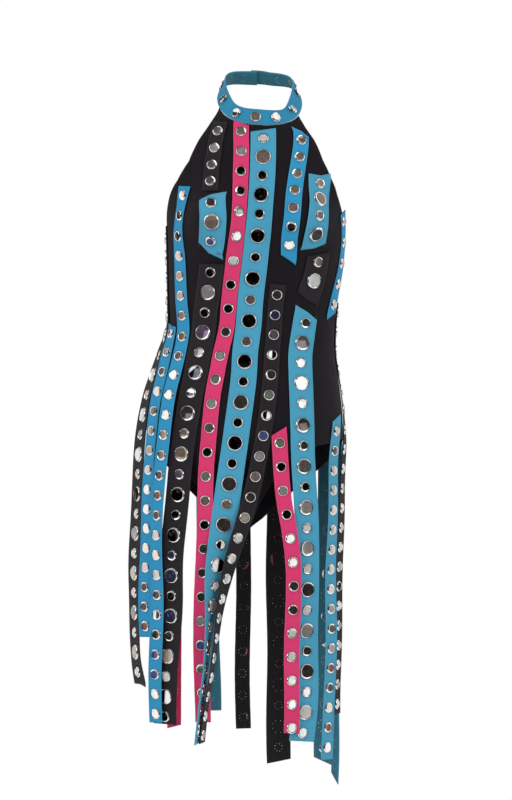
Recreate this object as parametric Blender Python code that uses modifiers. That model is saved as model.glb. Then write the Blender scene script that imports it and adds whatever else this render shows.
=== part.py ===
"""Halter-neck leotard with a mirrored collar, and cloth strips that hang from it.

The garment is hollow and keeps the form that it has when worn. A plain stretch
leotard ends at the neck in a stand-up band. Strips of cloth set with round mirrors
are sewn down it, and run on past the hips as a fringe of loose ends at the knee.

Units are metres, with +Z up and the front of the garment towards -Y. Left and right
are as seen from the front. The origin is in the middle of the ring of the collar.
In the tables, a drop is a depth below the origin in millimetres, and an angle goes
round the garment in degrees from the middle of the front, with the right positive.
"""
import math
from collections import namedtuple

import bmesh
import bpy
import numpy as np
from mathutils import Vector
from mathutils.bvhtree import BVHTree

MM = 0.001

# Driving sizes of the cloth and the trim
LEOTARD_WALL = 1.2 * MM
STRIP_WALL = 1.5 * MM
COLLAR_WALL = 2.0 * MM
SEAM_GAP = 0.4 * MM
STRIP_CLEARANCE = 0.8 * MM
NARROW = 23.5 * MM
WIDE = 38.5 * MM
SMALL_MIRROR = 8.4 * MM
LARGE_MIRROR = 12.0 * MM
MIRROR_HEIGHT = 1.8 * MM
MIRROR_SIDES = 6
RIM_TAPER = 0.9
PLAIN_ROW = 36 * MM
SEARCH_REACH = 8 * MM

# The form that the cloth is cut to: its sections and the cups of the bust
SQUARENESS = 2.3
BUST_FULLNESS = 30 * MM
BUST_ANGLE = 34.0
BUST_SPREAD = 21.0
BUST_DROP = 183 * MM
BUST_RISE = 50 * MM
BUST_FALL = 42 * MM

Section = namedtuple("Section", "drop centre_x half_width front_depth back_depth")
FORM = (
    Section(-60, 0, 55, 50, 56),
    Section(-46, 0, 56, 51, 58),
    Section(-4, 0, 61, 55, 62),
    Section(20, 0, 71, 57, 72),
    Section(45, -1, 94, 64, 84),
    Section(70, -2, 119, 74, 92),
    Section(95, -3, 132, 82, 96),
    Section(125, -4, 138, 87, 97),
    Section(165, -5, 133, 89, 95),
    Section(200, -5, 132, 90, 92),
    Section(250, -6, 130, 87, 85),
    Section(300, -9, 126, 82, 77),
    Section(345, -11, 124, 80, 76),
    Section(383, -16, 129, 85, 85),
    Section(412, -18, 135, 91, 96),
    Section(442, -20, 141, 97, 106),
    Section(472, -21, 145, 101, 112),
    Section(502, -22, 147, 104, 115),
    Section(540, -24, 148, 106, 116),
    Section(650, -26, 152, 106, 116),
    Section(800, -28, 154, 101, 116),
    Section(1000, -28, 155, 95, 114),
    Section(1080, -28, 155, 93, 113),
)

# The edges of the two cut pieces
Armhole = namedtuple("Armhole", "drop angle")
LEFT_ARMHOLE = (
    Armhole(10, 60.0), Armhole(38, 59.4), Armhole(76, 58.4), Armhole(98, 58.8),
    Armhole(126, 64.8), Armhole(150, 74.2), Armhole(168, 82.0), Armhole(186, 90.0),
)
RIGHT_ARMHOLE = (
    Armhole(20, 52.8), Armhole(66, 56.2), Armhole(96, 57.2), Armhole(125, 61.6),
    Armhole(147, 67.0), Armhole(172, 76.5), Armhole(190, 84.0), Armhole(204, 90.0),
)
LegLine = namedtuple("LegLine", "angle drop")
FRONT_LEG_LINE = (
    LegLine(-90, 489), LegLine(-75, 500), LegLine(-60, 515), LegLine(-48, 538),
    LegLine(-37, 567), LegLine(-25, 596), LegLine(-14, 621), LegLine(-7.2, 645.5),
    LegLine(-1.4, 645.5), LegLine(4.4, 645.5), LegLine(10, 621), LegLine(15.5, 596),
    LegLine(24, 567), LegLine(39, 538), LegLine(54, 517), LegLine(72, 510), LegLine(90, 507),
)
BACK_LEG_LINE = (
    LegLine(90, 507), LegLine(105, 523), LegLine(120, 546), LegLine(135, 574),
    LegLine(150, 602), LegLine(165, 630), LegLine(176, 645.5), LegLine(181, 645.5),
    LegLine(186.6, 645.5), LegLine(197, 630), LegLine(212, 602), LegLine(226, 571),
    LegLine(240, 540), LegLine(255, 510), LegLine(270, 489),
)
CROTCH_DROP = 645.5 * MM
FRONT_TUCK_DROP = 500 * MM
BACK_TUCK_DROP = 540 * MM
BACK_SCOOP = 78 * MM
FRONT_ROWS = 24
BACK_ROWS = 15

# The collar, a band cut on the cone of the neck, its ends lapped and snapped behind.
# Its lower edge dips in front, and climbs to the nape, fast at first and then less
COLLAR_FRONT_DROP = 44.5 * MM
COLLAR_CLIMB = 73.5 * MM
COLLAR_DEPTH = 124 * MM
COLLAR_BEND = 1.6
COLLAR_LEAN = 0.045
COLLAR_TOP_WIDTH = 49.5 * MM
COLLAR_TOP_DEPTH = 51.5 * MM
COLLAR_TOP_AHEAD = 7 * MM
COLLAR_WIDTH = 24 * MM
COLLAR_RADIUS = 57.5 * MM
COLLAR_START = -177.0
COLLAR_END = 193.0
COLLAR_LAP = 2.9 * MM
COLLAR_FIRST_MIRROR = -154.5
COLLAR_MIRROR_STEP = 30.0
COLLAR_MIRRORS = 11
SNAP_RADIUS = 5 * MM
SNAP_HEIGHT = 2 * MM
SNAP_ANGLE = 187.0

# Base colours of the materials, as linear red, green and blue
TURQUOISE = (0.055, 0.32, 0.50)
PINK = (0.64, 0.035, 0.15)
BLACK = (0.017, 0.014, 0.018)
LEOTARD_BLACK = (0.013, 0.010, 0.013)
SILVER = (0.80, 0.80, 0.78)

# Each strip: its cloth, width, slanted ends (right edge lower, in millimetres), runs of
# mirrors (first and last drop, and how many), the sizes that repeat, and its path
Strip = namedtuple("Strip", "name cloth width slants mirrors sizes path")
Step = namedtuple("Step", "drop angle lift twist", defaults=(0.0, 0.0))
STRIPS = (
    Strip("black_strip_chest", "black", NARROW, (0, 0), ((55, 131, 4),), "S",
          (Step(41, -47.2), Step(84, -41.6), Step(115, -38.8), Step(146, -34.8))),
    Strip("turquoise_patch_chest", "turquoise", WIDE, (-15, 24), ((164, 216, 3),), "SL",
          (Step(152, -32.8), Step(188, -30.4), Step(223, -35.8), Step(233, -38.4))),
    Strip("black_strip_waist", "black", WIDE, (0, 0), ((262, 915, 23),), "SL",
          (Step(250, -38.5), Step(291, -42.1), Step(335, -45.5), Step(379, -44.4),
           Step(424, -43.4), Step(470, -43.8), Step(509, -44.9), Step(589, -46.2),
           Step(684, -49.1), Step(743, -50.2), Step(817, -53), Step(926, -54.9))),
    Strip("pink_strip_front", "pink", NARROW, (8, 0), ((56, 175, 5), (210, 878, 20)), "S",
          (Step(43.5, -22.5), Step(83, -17), Step(128, -14.8), Step(189, -15),
           Step(245, -20.0), Step(324, -24.7), Step(430, -26.8), Step(581, -27.4),
           Step(767, -29.5), Step(858, -30.5), Step(921, -30.2))),
    Strip("turquoise_strip_centre", "turquoise", WIDE, (-6, 0),
          ((66.5, 178, 5), (209, 365, 6), (394.5, 750, 13), (779, 926, 6)), "SL",
          (Step(54, 6.6), Step(89, 6.4), Step(165, 4.6), Step(242, 0.1), Step(347, -3.5),
           Step(428, -2.7), Step(494, -6.0), Step(558, -8.9), Step(610, -12.0, 0, 4),
           Step(669, -16.5, 0, 18), Step(712, -20.0, 1, 42), Step(756, -22.6, 4, 66),
           Step(815, -24.0, 20, 80), Step(850, -25.2, 26, 83), Step(874, -26.8, 27, 84),
           Step(947, -31.2, 28, 84))),
    Strip("black_strip_centre", "black", NARROW, (0, 0), ((295.5, 739.5, 16), (767, 935, 7)), "S",
          (Step(280, 24), Step(325, 23.1), Step(377, 23.1), Step(435, 20.5),
           Step(504, 15.2), Step(552, 11.2, 1.5), Step(596, 6.2, 3, 4), Step(632, 0.9, 4, 14),
           Step(666, -4.6, 4, 28), Step(709, -10.8, 4, 47), Step(756, -16.4, 6, 66),
           Step(815, -20.0, 21, 80), Step(850, -22.0, 27, 83), Step(874, -23.9, 27, 84),
           Step(947, -28.3, 28, 84))),
    Strip("turquoise_strip_bust", "turquoise", NARROW, (16, 14), ((68.5, 222, 7),), "S",
          (Step(55, 47.6), Step(108, 36.8), Step(159, 28.4), Step(202, 26.3), Step(243, 29.8))),
    Strip("turquoise_patch_bust", "turquoise", WIDE, (-6, -14), ((133, 205, 4),), "SL",
          (Step(121, 52.7), Step(157, 46.8, 1.2, -6), Step(190, 41.9, 2.7, -12),
           Step(225, 45.2, 2.7, -12))),
    Strip("black_patch_ribs", "black", WIDE, (-10, 14), ((246, 274, 2),), "SL",
          (Step(235, 53), Step(266, 53.2), Step(303, 50.2))),
    Strip("turquoise_strip_hip", "turquoise", WIDE, (18, 0), ((336.5, 455, 5), (487, 938, 16)), "SL",
          (Step(320, 50.6), Step(356, 48.7), Step(397, 46.2), Step(450, 44.5),
           Step(501, 43.9), Step(560, 45), Step(618, 46.4), Step(684, 47.4),
           Step(758, 48.8), Step(890, 49.1), Step(950, 46.4))),
    Strip("turquoise_strip_side", "turquoise", NARROW, (-8, -14), ((184, 308, 5),), "S",
          (Step(170, 76.5), Step(211, 80), Step(244, 79), Step(271, 77.5), Step(324, 73.4))),
    Strip("turquoise_strip_thigh", "turquoise", NARROW, (-13, 0), ((496, 962, 17),), "S",
          (Step(478, 71.6), Step(516, 68.5), Step(583, 66.4), Step(656, 65.6),
           Step(883, 65.2), Step(980, 64.0))),
    Strip("pink_strip_thigh", "pink", NARROW, (-13, 0), ((513, 929, 13),), "S",
          (Step(496, 27.2, 2.4), Step(540, 28.8, 1.5), Step(596, 31.1, 3), Step(640, 34.2, 6),
           Step(691, 37.1, 7), Step(742, 38.6, 7), Step(845, 39.0, 7), Step(936, 38.8, 7))),
    Strip("turquoise_strip_left", "turquoise", NARROW, (0, 0), ((149, 325, 7), (357, 911, 20)), "S",
          (Step(136, -57), Step(170, -58.6), Step(206, -62.8), Step(240, -64),
           Step(332, -63.2), Step(376, -60.2), Step(418, -58.6, 3), Step(462, -58.0, 5),
           Step(582, -57.6, 7), Step(744, -58.4, 7), Step(924, -59.4, 7))),
    Strip("turquoise_strip_left_hip", "turquoise", NARROW, (8, 0), ((352, 784, 16),), "S",
          (Step(340, -75), Step(382, -71, 2.5, 10), Step(420, -69.3, 2.5, 12),
           Step(468, -69, 2.5, 12), Step(568, -68.8, 2.5, 12), Step(716, -68.2, 2.5, 12),
           Step(800, -67.8, 2.5, 12))),
    Strip("black_strip_left_side", "black", WIDE, (0, 6), ((207, 857, 23),), "SL",
          (Step(190, -90), Step(250, -90), Step(310, -90, 0.6, 6), Step(363, -90, 2.2, 13),
           Step(410, -90, 3.4, 17), Step(450, -90, 4.6, 20), Step(511, -90, 6.4, 26),
           Step(573, -90, 6, 26), Step(650, -89.5, 4.5, 26), Step(730, -89, 4, 26),
           Step(800, -88.5, 3, 26), Step(840, -87.5, -1, 24), Step(875, -86, -8, 24))),
    Strip("black_strip_right_side", "black", NARROW, (0, 0), ((318, 905, 21),), "S",
          (Step(304, 90), Step(380, 90, 0, -3), Step(430, 90, 0.3, -6), Step(480, 90, 0.8, -10),
           Step(520, 89.5, 1.2, -16), Step(580, 89, -2, -20), Step(650, 88.5, -6, -24),
           Step(720, 88, -8, -24), Step(800, 88, -10, -24), Step(920, 88, -11, -24))),
    Strip("back_turquoise_left", "turquoise", NARROW, (0, 0), ((229, 860, 20),), "S",
          (Step(215, -118), Step(600, -118), Step(876, -119))),
    Strip("back_pink", "pink", NARROW, (0, 4), ((247, 932, 21),), "S",
          (Step(232, -135), Step(600, -133), Step(952, -133))),
    Strip("back_turquoise_wide", "turquoise", WIDE, (8, 0), ((276, 912, 21),), "SL",
          (Step(260, -158), Step(600, -155), Step(930, -156))),
    Strip("back_black_narrow", "black", NARROW, (0, 0), ((298, 940, 20),), "S",
          (Step(284, -181), Step(600, -181), Step(958, -182))),
    Strip("back_black_wide", "black", WIDE, (-8, 8), ((276, 986, 23),), "SL",
          (Step(260, -205), Step(600, -206.7), Step(1008, -208.5))),
    Strip("back_black_side", "black", NARROW, (0, 0), ((255, 942, 21),), "S",
          (Step(240, 132), Step(600, 134.3), Step(958, 136.5))),
    Strip("back_turquoise_hip", "turquoise", WIDE, (0, -10), ((250, 982, 23),), "SL",
          (Step(234, 116), Step(450, 118), Step(700, 119.5), Step(1003, 121.5))),
    Strip("back_turquoise_side", "turquoise", NARROW, (0, -16), ((324, 1004, 21),), "S",
          (Step(308, 103), Step(600, 105), Step(1024, 106.5, -7))),
)


def smooth_curve(at, knots, values):
    """Read a smooth curve through the knots, with slopes from their neighbours."""
    knots = np.asarray(knots, float)
    values = np.asarray(values, float)
    slopes = np.gradient(values, knots)
    index = np.clip(np.searchsorted(knots, at) - 1, 0, len(knots) - 2)
    step = knots[index + 1] - knots[index]
    t = (np.clip(at, knots[0], knots[-1]) - knots[index]) / step
    start = (2 * t ** 3 - 3 * t ** 2 + 1) * values[index] + (t ** 3 - 2 * t ** 2 + t) * step * slopes[index]
    end = (3 * t ** 2 - 2 * t ** 3) * values[index + 1] + (t ** 3 - t ** 2) * step * slopes[index + 1]
    return start + end


def ease(t):
    """Go from 0 to 1 with level ends."""
    t = min(1.0, max(0.0, t))
    return t * t * (3 - 2 * t)


FORM_TABLE = np.array(FORM, float)
DROPS = np.arange(FORM_TABLE[0, 0], FORM_TABLE[-1, 0] + 1.0)
FORM_CURVES = [smooth_curve(DROPS, FORM_TABLE[:, 0], FORM_TABLE[:, i]) * MM for i in range(1, 5)]


def form_radius(angle, height):
    """Distance from the section's centre: a rounded oval, fuller where the cups are."""
    drop = -height / MM
    half_width, front, back = (np.interp(drop, DROPS, curve) for curve in FORM_CURVES[1:])
    turn = math.radians(angle)
    across, ahead = math.sin(turn), math.cos(turn)
    depth = front if ahead > 0 else back
    oval = (abs(across) / half_width) ** SQUARENESS + (abs(ahead) / depth) ** SQUARENESS
    rise = height + BUST_DROP
    tall = math.exp(-(rise / (BUST_RISE if rise > 0 else BUST_FALL)) ** 2)
    turned = (angle + 180) % 360 - 180
    cups = sum(math.exp(-((turned - side * BUST_ANGLE) / BUST_SPREAD) ** 2) for side in (-1, 1))
    return oval ** (-1 / SQUARENESS) + BUST_FULLNESS * tall * cups


def form_point(angle, height):
    """Point of the form at an angle and a height."""
    centre = np.interp(-height / MM, DROPS, FORM_CURVES[0])
    radius = form_radius(angle, height)
    turn = math.radians(angle)
    return Vector((centre + radius * math.sin(turn), -radius * math.cos(turn), height))


def form_normal(angle, height):
    """Outward direction of the form, square to two short steps on it."""
    around = form_point(angle + 0.5, height) - form_point(angle - 0.5, height)
    up = form_point(angle, height + MM) - form_point(angle, height - MM)
    return around.cross(up).normalized()


def make_material(name, colour, roughness, metallic=0.0):
    material = bpy.data.materials.new(name)
    material.use_nodes = True
    shader = material.node_tree.nodes["Principled BSDF"]
    shader.inputs["Base Color"].default_value = (*colour, 1.0)
    shader.inputs["Roughness"].default_value = roughness
    shader.inputs["Metallic"].default_value = metallic
    material.diffuse_color = (*colour, 1.0)
    return material


def add_object(name, bm, materials, collection):
    """Give a finished bmesh its faces' direction, an object and its materials."""
    bmesh.ops.recalc_face_normals(bm, faces=bm.faces)
    if bm.calc_volume(signed=True) < 0:
        bmesh.ops.reverse_faces(bm, faces=bm.faces)
    mesh = bpy.data.meshes.new(name)
    bm.to_mesh(mesh)
    bm.free()
    piece = bpy.data.objects.new(name, mesh)
    for material in materials:
        mesh.materials.append(material)
    collection.objects.link(piece)
    return piece


def collar_edge_height(point):
    """Height of the collar's lower edge over a point: it climbs backwards and leans."""
    front = form_radius(0, -COLLAR_FRONT_DROP)
    back = min(max((point.y + front) / COLLAR_DEPTH, 0), 1)
    climb = COLLAR_CLIMB * (1 - (1 - back) ** COLLAR_BEND)
    return -COLLAR_FRONT_DROP + climb - COLLAR_LEAN * point.x


def collar_lower_edge(angle):
    """Point of the form where it meets the height of the collar's lower edge."""
    height = 0.0
    for _ in range(30):
        height += 0.5 * (collar_edge_height(form_point(angle, height)) - height)
    return form_point(angle, height)


def armhole_angle(side, height):
    """Angle of a side edge of the front: the armhole, then the side seam."""
    table = np.array(LEFT_ARMHOLE if side < 0 else RIGHT_ARMHOLE)
    return float(np.interp(-height / MM, table[:, 0], table[:, 1]))


def tuck(height, start):
    """Share of the depth that is left as the cloth runs in between the legs."""
    if height > -start:
        return 1.0
    share = (-start - height) / (CROTCH_DROP - start)
    return math.sqrt(max(0.0, 1 - min(1.0, share) ** 2))


def shell_from_grid(name, rows, material, collection):
    """Join rows of points into an open surface and give it the leotard's wall."""
    bm = bmesh.new()
    grid = [[bm.verts.new(point) for point in row] for row in rows]
    for upper, lower in zip(grid, grid[1:]):
        for i in range(len(upper) - 1):
            bm.faces.new((upper[i], lower[i], lower[i + 1], upper[i + 1]))
    mesh = bpy.data.meshes.new(name)
    bm.to_mesh(mesh)
    bm.free()
    mesh.shade_smooth()
    mesh.materials.append(material)
    piece = bpy.data.objects.new(name, mesh)
    collection.objects.link(piece)
    wall = piece.modifiers.new("wall", "SOLIDIFY")
    wall.thickness = LEOTARD_WALL
    wall.offset = 1.0
    wall.use_even_offset = True
    return piece


def front_rows():
    """Points of the front: from the collar down past the armholes to the leg line."""
    angles = np.array([line.angle for line in FRONT_LEG_LINE])
    bottoms = -np.array([line.drop for line in FRONT_LEG_LINE]) * MM
    tops = []
    for angle in angles:
        height = -COLLAR_FRONT_DROP
        for _ in range(12):
            turned = angle / 90 * armhole_angle(angle, height)
            height = collar_lower_edge(turned).z - SEAM_GAP
        tops.append(height)
    rows = []
    for share in np.linspace(0, 1, FRONT_ROWS + 1):
        row = []
        for angle, top, bottom in zip(angles, tops, bottoms):
            height = top + (bottom - top) * share
            point = form_point(angle / 90 * armhole_angle(angle, height), height)
            point.y = min(point.y * tuck(height, FRONT_TUCK_DROP), -SEAM_GAP / 2)
            row.append(point)
        rows.append(row)
    return rows


def back_rows():
    """Points of the back: from a scooped edge under the arms down to the leg line."""
    rows = []
    for share in np.linspace(0, 1, BACK_ROWS + 1):
        row = []
        for line in BACK_LEG_LINE:
            side = LEFT_ARMHOLE if line.angle > 180 else RIGHT_ARMHOLE
            scoop = math.sin(math.radians(line.angle - 90)) ** 2
            side_top = np.interp(line.angle, (90, 270), (RIGHT_ARMHOLE[-1].drop, LEFT_ARMHOLE[-1].drop))
            top = -side_top * MM - BACK_SCOOP * scoop
            height = top + (-line.drop * MM - top) * share
            point = form_point(line.angle, height)
            point.y = max(point.y * tuck(height, BACK_TUCK_DROP), SEAM_GAP / 2)
            row.append(point)
        rows.append(row)
    return rows


def strip_frame(strip, height, lift):
    """Centre of a strip at a height, with its directions down, across and outward."""
    table = np.array(strip.path, float)

    def centre(level):
        drop = -level / MM
        angle, raised = (float(smooth_curve(drop, table[:, 0], table[:, i])) for i in (1, 2))
        normal = form_normal(angle, level)
        return form_point(angle, level) + normal * (raised * MM + lift), normal

    here, normal = centre(height)
    down = (centre(height - 2 * MM)[0] - centre(height + 2 * MM)[0]).normalized()
    twist = float(smooth_curve(-height / MM, table[:, 0], table[:, 3]))
    normal = (normal - down * normal.dot(down)).normalized()
    across = normal.cross(down)
    turn = math.radians(twist)
    outward = normal * math.cos(turn) + across * math.sin(turn)
    return here, down, outward.cross(down), outward, twist


def make_strip_surface(strip, lifts):
    """Return the inner face of a strip as a function of its depth and the way across.

    On the leotard the strip follows the form; below the hips it hangs flat.
    """
    heights, extra = lifts

    def surface(depth, across):
        height = -depth
        lift = LEOTARD_WALL + STRIP_CLEARANCE + float(np.interp(depth, heights, extra))
        centre, down, sideways, outward, twist = strip_frame(strip, height, lift)
        flat = centre + sideways * across
        hanging = ease((depth - 500 * MM) / (120 * MM))
        follow = (1 - hanging) * (1 - ease(abs(twist) / 20))
        if follow == 0:
            return flat, outward
        middle = np.interp(-flat.z / MM, DROPS, FORM_CURVES[0])
        angle = math.degrees(math.atan2(flat.x - middle, -flat.y))
        raised = (centre - form_point(math.degrees(math.atan2(centre.x - middle, -centre.y)), centre.z)).length
        normal = form_normal(angle, flat.z)
        laid = form_point(angle, flat.z) + normal * raised
        return flat.lerp(laid, follow), outward.lerp(normal, follow).normalized()

    return surface


def collar_surface(along, across):
    """Inner face of the collar: along it from the front, and up it from its middle."""
    angle = math.degrees(along / COLLAR_RADIUS)
    lower = collar_lower_edge(angle)
    turn = math.radians(angle)
    upper = Vector((COLLAR_TOP_WIDTH * math.sin(turn),
                    -COLLAR_TOP_DEPTH * math.cos(turn) - COLLAR_TOP_AHEAD, 0))
    inset = math.hypot(upper.x - lower.x, upper.y - lower.y)
    upper.z = lower.z + math.sqrt(COLLAR_WIDTH ** 2 - inset ** 2)
    ahead = Vector((math.cos(turn), math.sin(turn), 0))
    outward = ahead.cross(upper - lower).normalized()
    lap = COLLAR_LAP * ease((angle - 158) / 20)
    share = across / COLLAR_WIDTH + 0.5
    return lower.lerp(upper, share) + outward * lap, outward


def row_points(surface, edges, width, slants):
    """Inner points of a band, row by row, with the first and last row slanted."""
    columns = (-0.5, 0.0, 0.5) if width > NARROW * 1.2 else (-0.5, 0.5)
    tilts = [slants[0], *[0] * (len(edges) - 2), slants[1]]
    return [[surface(edge + tilt * MM * column, width * column) for column in columns]
            for edge, tilt in zip(edges, tilts)]


def loop_by_angle(places, verts):
    """Order a loop's vertices by their angle round the mirror, and close it."""
    loop = [(math.atan2(across, along), vert) for (along, across), vert in zip(places, verts)]
    loop.sort(key=lambda pair: pair[0])
    return [*loop, (loop[0][0] + 2 * math.pi, loop[0][1])]


def zip_loops(bm, outer, inner):
    """Fill the ring between two closed loops with triangles, going round by angle."""
    i = j = 0
    while i < len(outer) - 1 or j < len(inner) - 1:
        inner_done = j == len(inner) - 1
        if inner_done or (i < len(outer) - 1 and outer[i + 1][0] <= inner[j + 1][0]):
            bm.faces.new((outer[i][1], outer[i + 1][1], inner[j][1]))
            i += 1
        else:
            bm.faces.new((outer[i][1], inner[j + 1][1], inner[j][1]))
            j += 1


def mirror_places(runs, sizes):
    """Depth and radius of each mirror of a strip, from its runs and repeating sizes."""
    depths = np.concatenate([np.linspace(first, last, count) for first, last, count in runs])
    radius = {"S": SMALL_MIRROR, "L": LARGE_MIRROR}
    return [(depth * MM, radius[sizes[i % len(sizes)]]) for i, depth in enumerate(depths)]


def cell_rows(start, end, mirrors):
    """Split a length into cells: one round each mirror, and plain ones between them."""
    edges = [start]
    for (near, near_radius), (far, far_radius) in zip(mirrors, mirrors[1:]):
        spare = far - near - near_radius - far_radius
        edges.append(near + near_radius + spare / 2)
    edges.append(end)
    cells = [(a, b, mirror) for a, b, mirror in zip(edges, edges[1:], mirrors)]
    rows = []
    for a, b, mirror in cells:
        while mirror[0] - a > PLAIN_ROW * 1.4:
            rows.append((a, a + PLAIN_ROW, None))
            a += PLAIN_ROW
        tail = []
        while b - mirror[0] > PLAIN_ROW * 1.4:
            tail.insert(0, (b - PLAIN_ROW, b, None))
            b -= PLAIN_ROW
        rows.append((a, b, mirror))
        rows.extend(tail)
    return rows


def build_band(name, surface, width, wall, cells, slants, materials, collection):
    """A band of cloth with a plain inner face, and mirrors raised in its outer one."""
    bm = bmesh.new()
    edges = [cells[0][0]] + [cell[1] for cell in cells]
    rows = row_points(surface, edges, width, slants)
    inner_rows = [[bm.verts.new(point) for point, _ in row] for row in rows]
    outer_rows = [[bm.verts.new(point + outward * wall) for point, outward in row] for row in rows]
    last = len(rows[0]) - 1
    columns = np.linspace(-width / 2, width / 2, last + 1)
    for index, (_, _, mirror) in enumerate(cells):
        near, far = inner_rows[index], inner_rows[index + 1]
        near_out, far_out = outer_rows[index], outer_rows[index + 1]
        for i in range(last):
            bm.faces.new((near[i], far[i], far[i + 1], near[i + 1]))
        bm.faces.new((near[0], near_out[0], far_out[0], far[0]))
        bm.faces.new((near[last], far[last], far_out[last], near_out[last]))
        if mirror is None:
            for i in range(last):
                bm.faces.new((near_out[i], near_out[i + 1], far_out[i + 1], far_out[i]))
            continue
        depth, radius = mirror
        ring, base, top = [], [], []
        for k in range(MIRROR_SIDES):
            turn = 2 * math.pi * (k + 0.5) / MIRROR_SIDES - math.pi
            along, across = radius * math.cos(turn), radius * math.sin(turn)
            ring.append((along, across))
            point, outward = surface(depth + along, across)
            base.append(bm.verts.new(point + outward * wall))
            point, outward = surface(depth + along * RIM_TAPER, across * RIM_TAPER)
            top.append(bm.verts.new(point + outward * (wall + MIRROR_HEIGHT)))
        corners = [(edge - depth, column) for edge in edges[index:index + 2] for column in columns]
        zip_loops(bm, loop_by_angle(corners, near_out + far_out), loop_by_angle(ring, base))
        for k in range(MIRROR_SIDES):
            after = (k + 1) % MIRROR_SIDES
            side = bm.faces.new((base[k], base[after], top[after], top[k]))
            side.material_index = 1
        bm.faces.new(top).material_index = 1
    for inner, outer in ((inner_rows[0], outer_rows[0]), (inner_rows[-1], outer_rows[-1])):
        for i in range(last):
            bm.faces.new((inner[i], inner[i + 1], outer[i + 1], outer[i]))
    return add_object(name, bm, materials, collection)


def leotard_tree(shells):
    """Search tree of the inner faces of the leotard."""
    points, faces = [], []
    for shell in shells:
        first = len(points)
        points.extend(vertex.co.copy() for vertex in shell.data.vertices)
        faces.extend([first + i for i in polygon.vertices] for polygon in shell.data.polygons)
    return BVHTree.FromPolygons(points, faces)


def lifts_clear_of(tree, strip, cells):
    """Raise the rows of a strip until its flat inner cells stand clear of the leotard."""
    edges = np.array([cells[0][0]] + [cell[1] for cell in cells])
    extra = np.zeros(len(edges))
    wanted = LEOTARD_WALL + STRIP_CLEARANCE
    shares = np.linspace(0, 1, 7)
    for _ in range(6):
        surface = make_strip_surface(strip, (edges, extra))
        rows = row_points(surface, edges, strip.width, strip.slants)
        for index in range(len(edges) - 1):
            short = 0.0
            for i in range(len(rows[0]) - 1):
                for along in shares:
                    left = rows[index][i][0].lerp(rows[index + 1][i][0], along)
                    right = rows[index][i + 1][0].lerp(rows[index + 1][i + 1][0], along)
                    for across in shares:
                        sample = left.lerp(right, across)
                        place, normal, _, apart = tree.find_nearest(sample)
                        if apart < SEARCH_REACH:
                            short = max(short, wanted - (sample - place).dot(normal))
            extra[index] += short * 0.7
            extra[index + 1] += short * 0.7
    return edges, extra


def build_strip(strip, tree, materials, collection):
    """One strip of cloth with its mirrors."""
    mirrors = mirror_places(strip.mirrors, strip.sizes)
    cells = cell_rows(strip.path[0].drop * MM, strip.path[-1].drop * MM, mirrors)
    surface = make_strip_surface(strip, lifts_clear_of(tree, strip, cells))
    return build_band(strip.name, surface, strip.width, STRIP_WALL, cells, strip.slants,
                      (materials[strip.cloth], materials["mirror"]), collection)


def build_collar(materials, collection):
    """The band round the neck, lapped at the nape."""
    step = math.radians(COLLAR_MIRROR_STEP) * COLLAR_RADIUS
    first = math.radians(COLLAR_FIRST_MIRROR) * COLLAR_RADIUS
    mirrors = [(first + step * i, SMALL_MIRROR) for i in range(COLLAR_MIRRORS)]
    start, end = (math.radians(angle) * COLLAR_RADIUS for angle in (COLLAR_START, COLLAR_END))
    cells = cell_rows(start, end, mirrors)
    return build_band("collar", collar_surface, COLLAR_WIDTH, COLLAR_WALL, cells, (0, 0),
                      (materials["turquoise"], materials["mirror"]), collection)


def build_snap(materials, collection):
    """The cap of the snap that closes the collar, on the lapped end."""
    point, outward = collar_surface(math.radians(SNAP_ANGLE) * COLLAR_RADIUS, 0.0)
    bm = bmesh.new()
    bmesh.ops.create_cone(bm, cap_ends=True, segments=16, radius1=SNAP_RADIUS,
                          radius2=SNAP_RADIUS * 0.8, depth=SNAP_HEIGHT)
    snap = add_object("collar_snap", bm, (materials["mirror"],), collection)
    snap.rotation_euler = outward.to_track_quat("Z", "Y").to_euler()
    snap.location = point + outward * (COLLAR_WALL + SEAM_GAP + SNAP_HEIGHT / 2)
    return snap


def main():
    for leftover in list(bpy.data.objects):
        bpy.data.objects.remove(leftover, do_unlink=True)
    collection = bpy.data.collections.new("stage_costume_dress")
    bpy.context.scene.collection.children.link(collection)
    materials = {
        "leotard": make_material("black_stretch_cloth", LEOTARD_BLACK, 0.75),
        "turquoise": make_material("turquoise_cloth", TURQUOISE, 0.7),
        "pink": make_material("pink_cloth", PINK, 0.7),
        "black": make_material("black_cloth", BLACK, 0.75),
        "mirror": make_material("mirror", SILVER, 0.08, 1.0),
    }
    front = shell_from_grid("front_panel", front_rows(), materials["leotard"], collection)
    back = shell_from_grid("back_panel", back_rows(), materials["leotard"], collection)
    tree = leotard_tree((front, back))
    build_collar(materials, collection)
    build_snap(materials, collection)
    for strip in STRIPS:
        build_strip(strip, tree, materials, collection)


main()
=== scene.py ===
# %% [markdown]
# A stage costume: a halter-neck leotard of black stretch cloth, with strips of turquoise,
# pink and black cloth sewn down it. The strips run on past the hips as a loose fringe,
# and every strip is set with round mirrors in metal rims.
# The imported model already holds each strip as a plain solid. This script loads it as a
# fixed frame, and lays a finer piece of cloth, mirrors and thread over each solid.

# %% Load the frame
import math
from collections import namedtuple
from functools import partial

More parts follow.
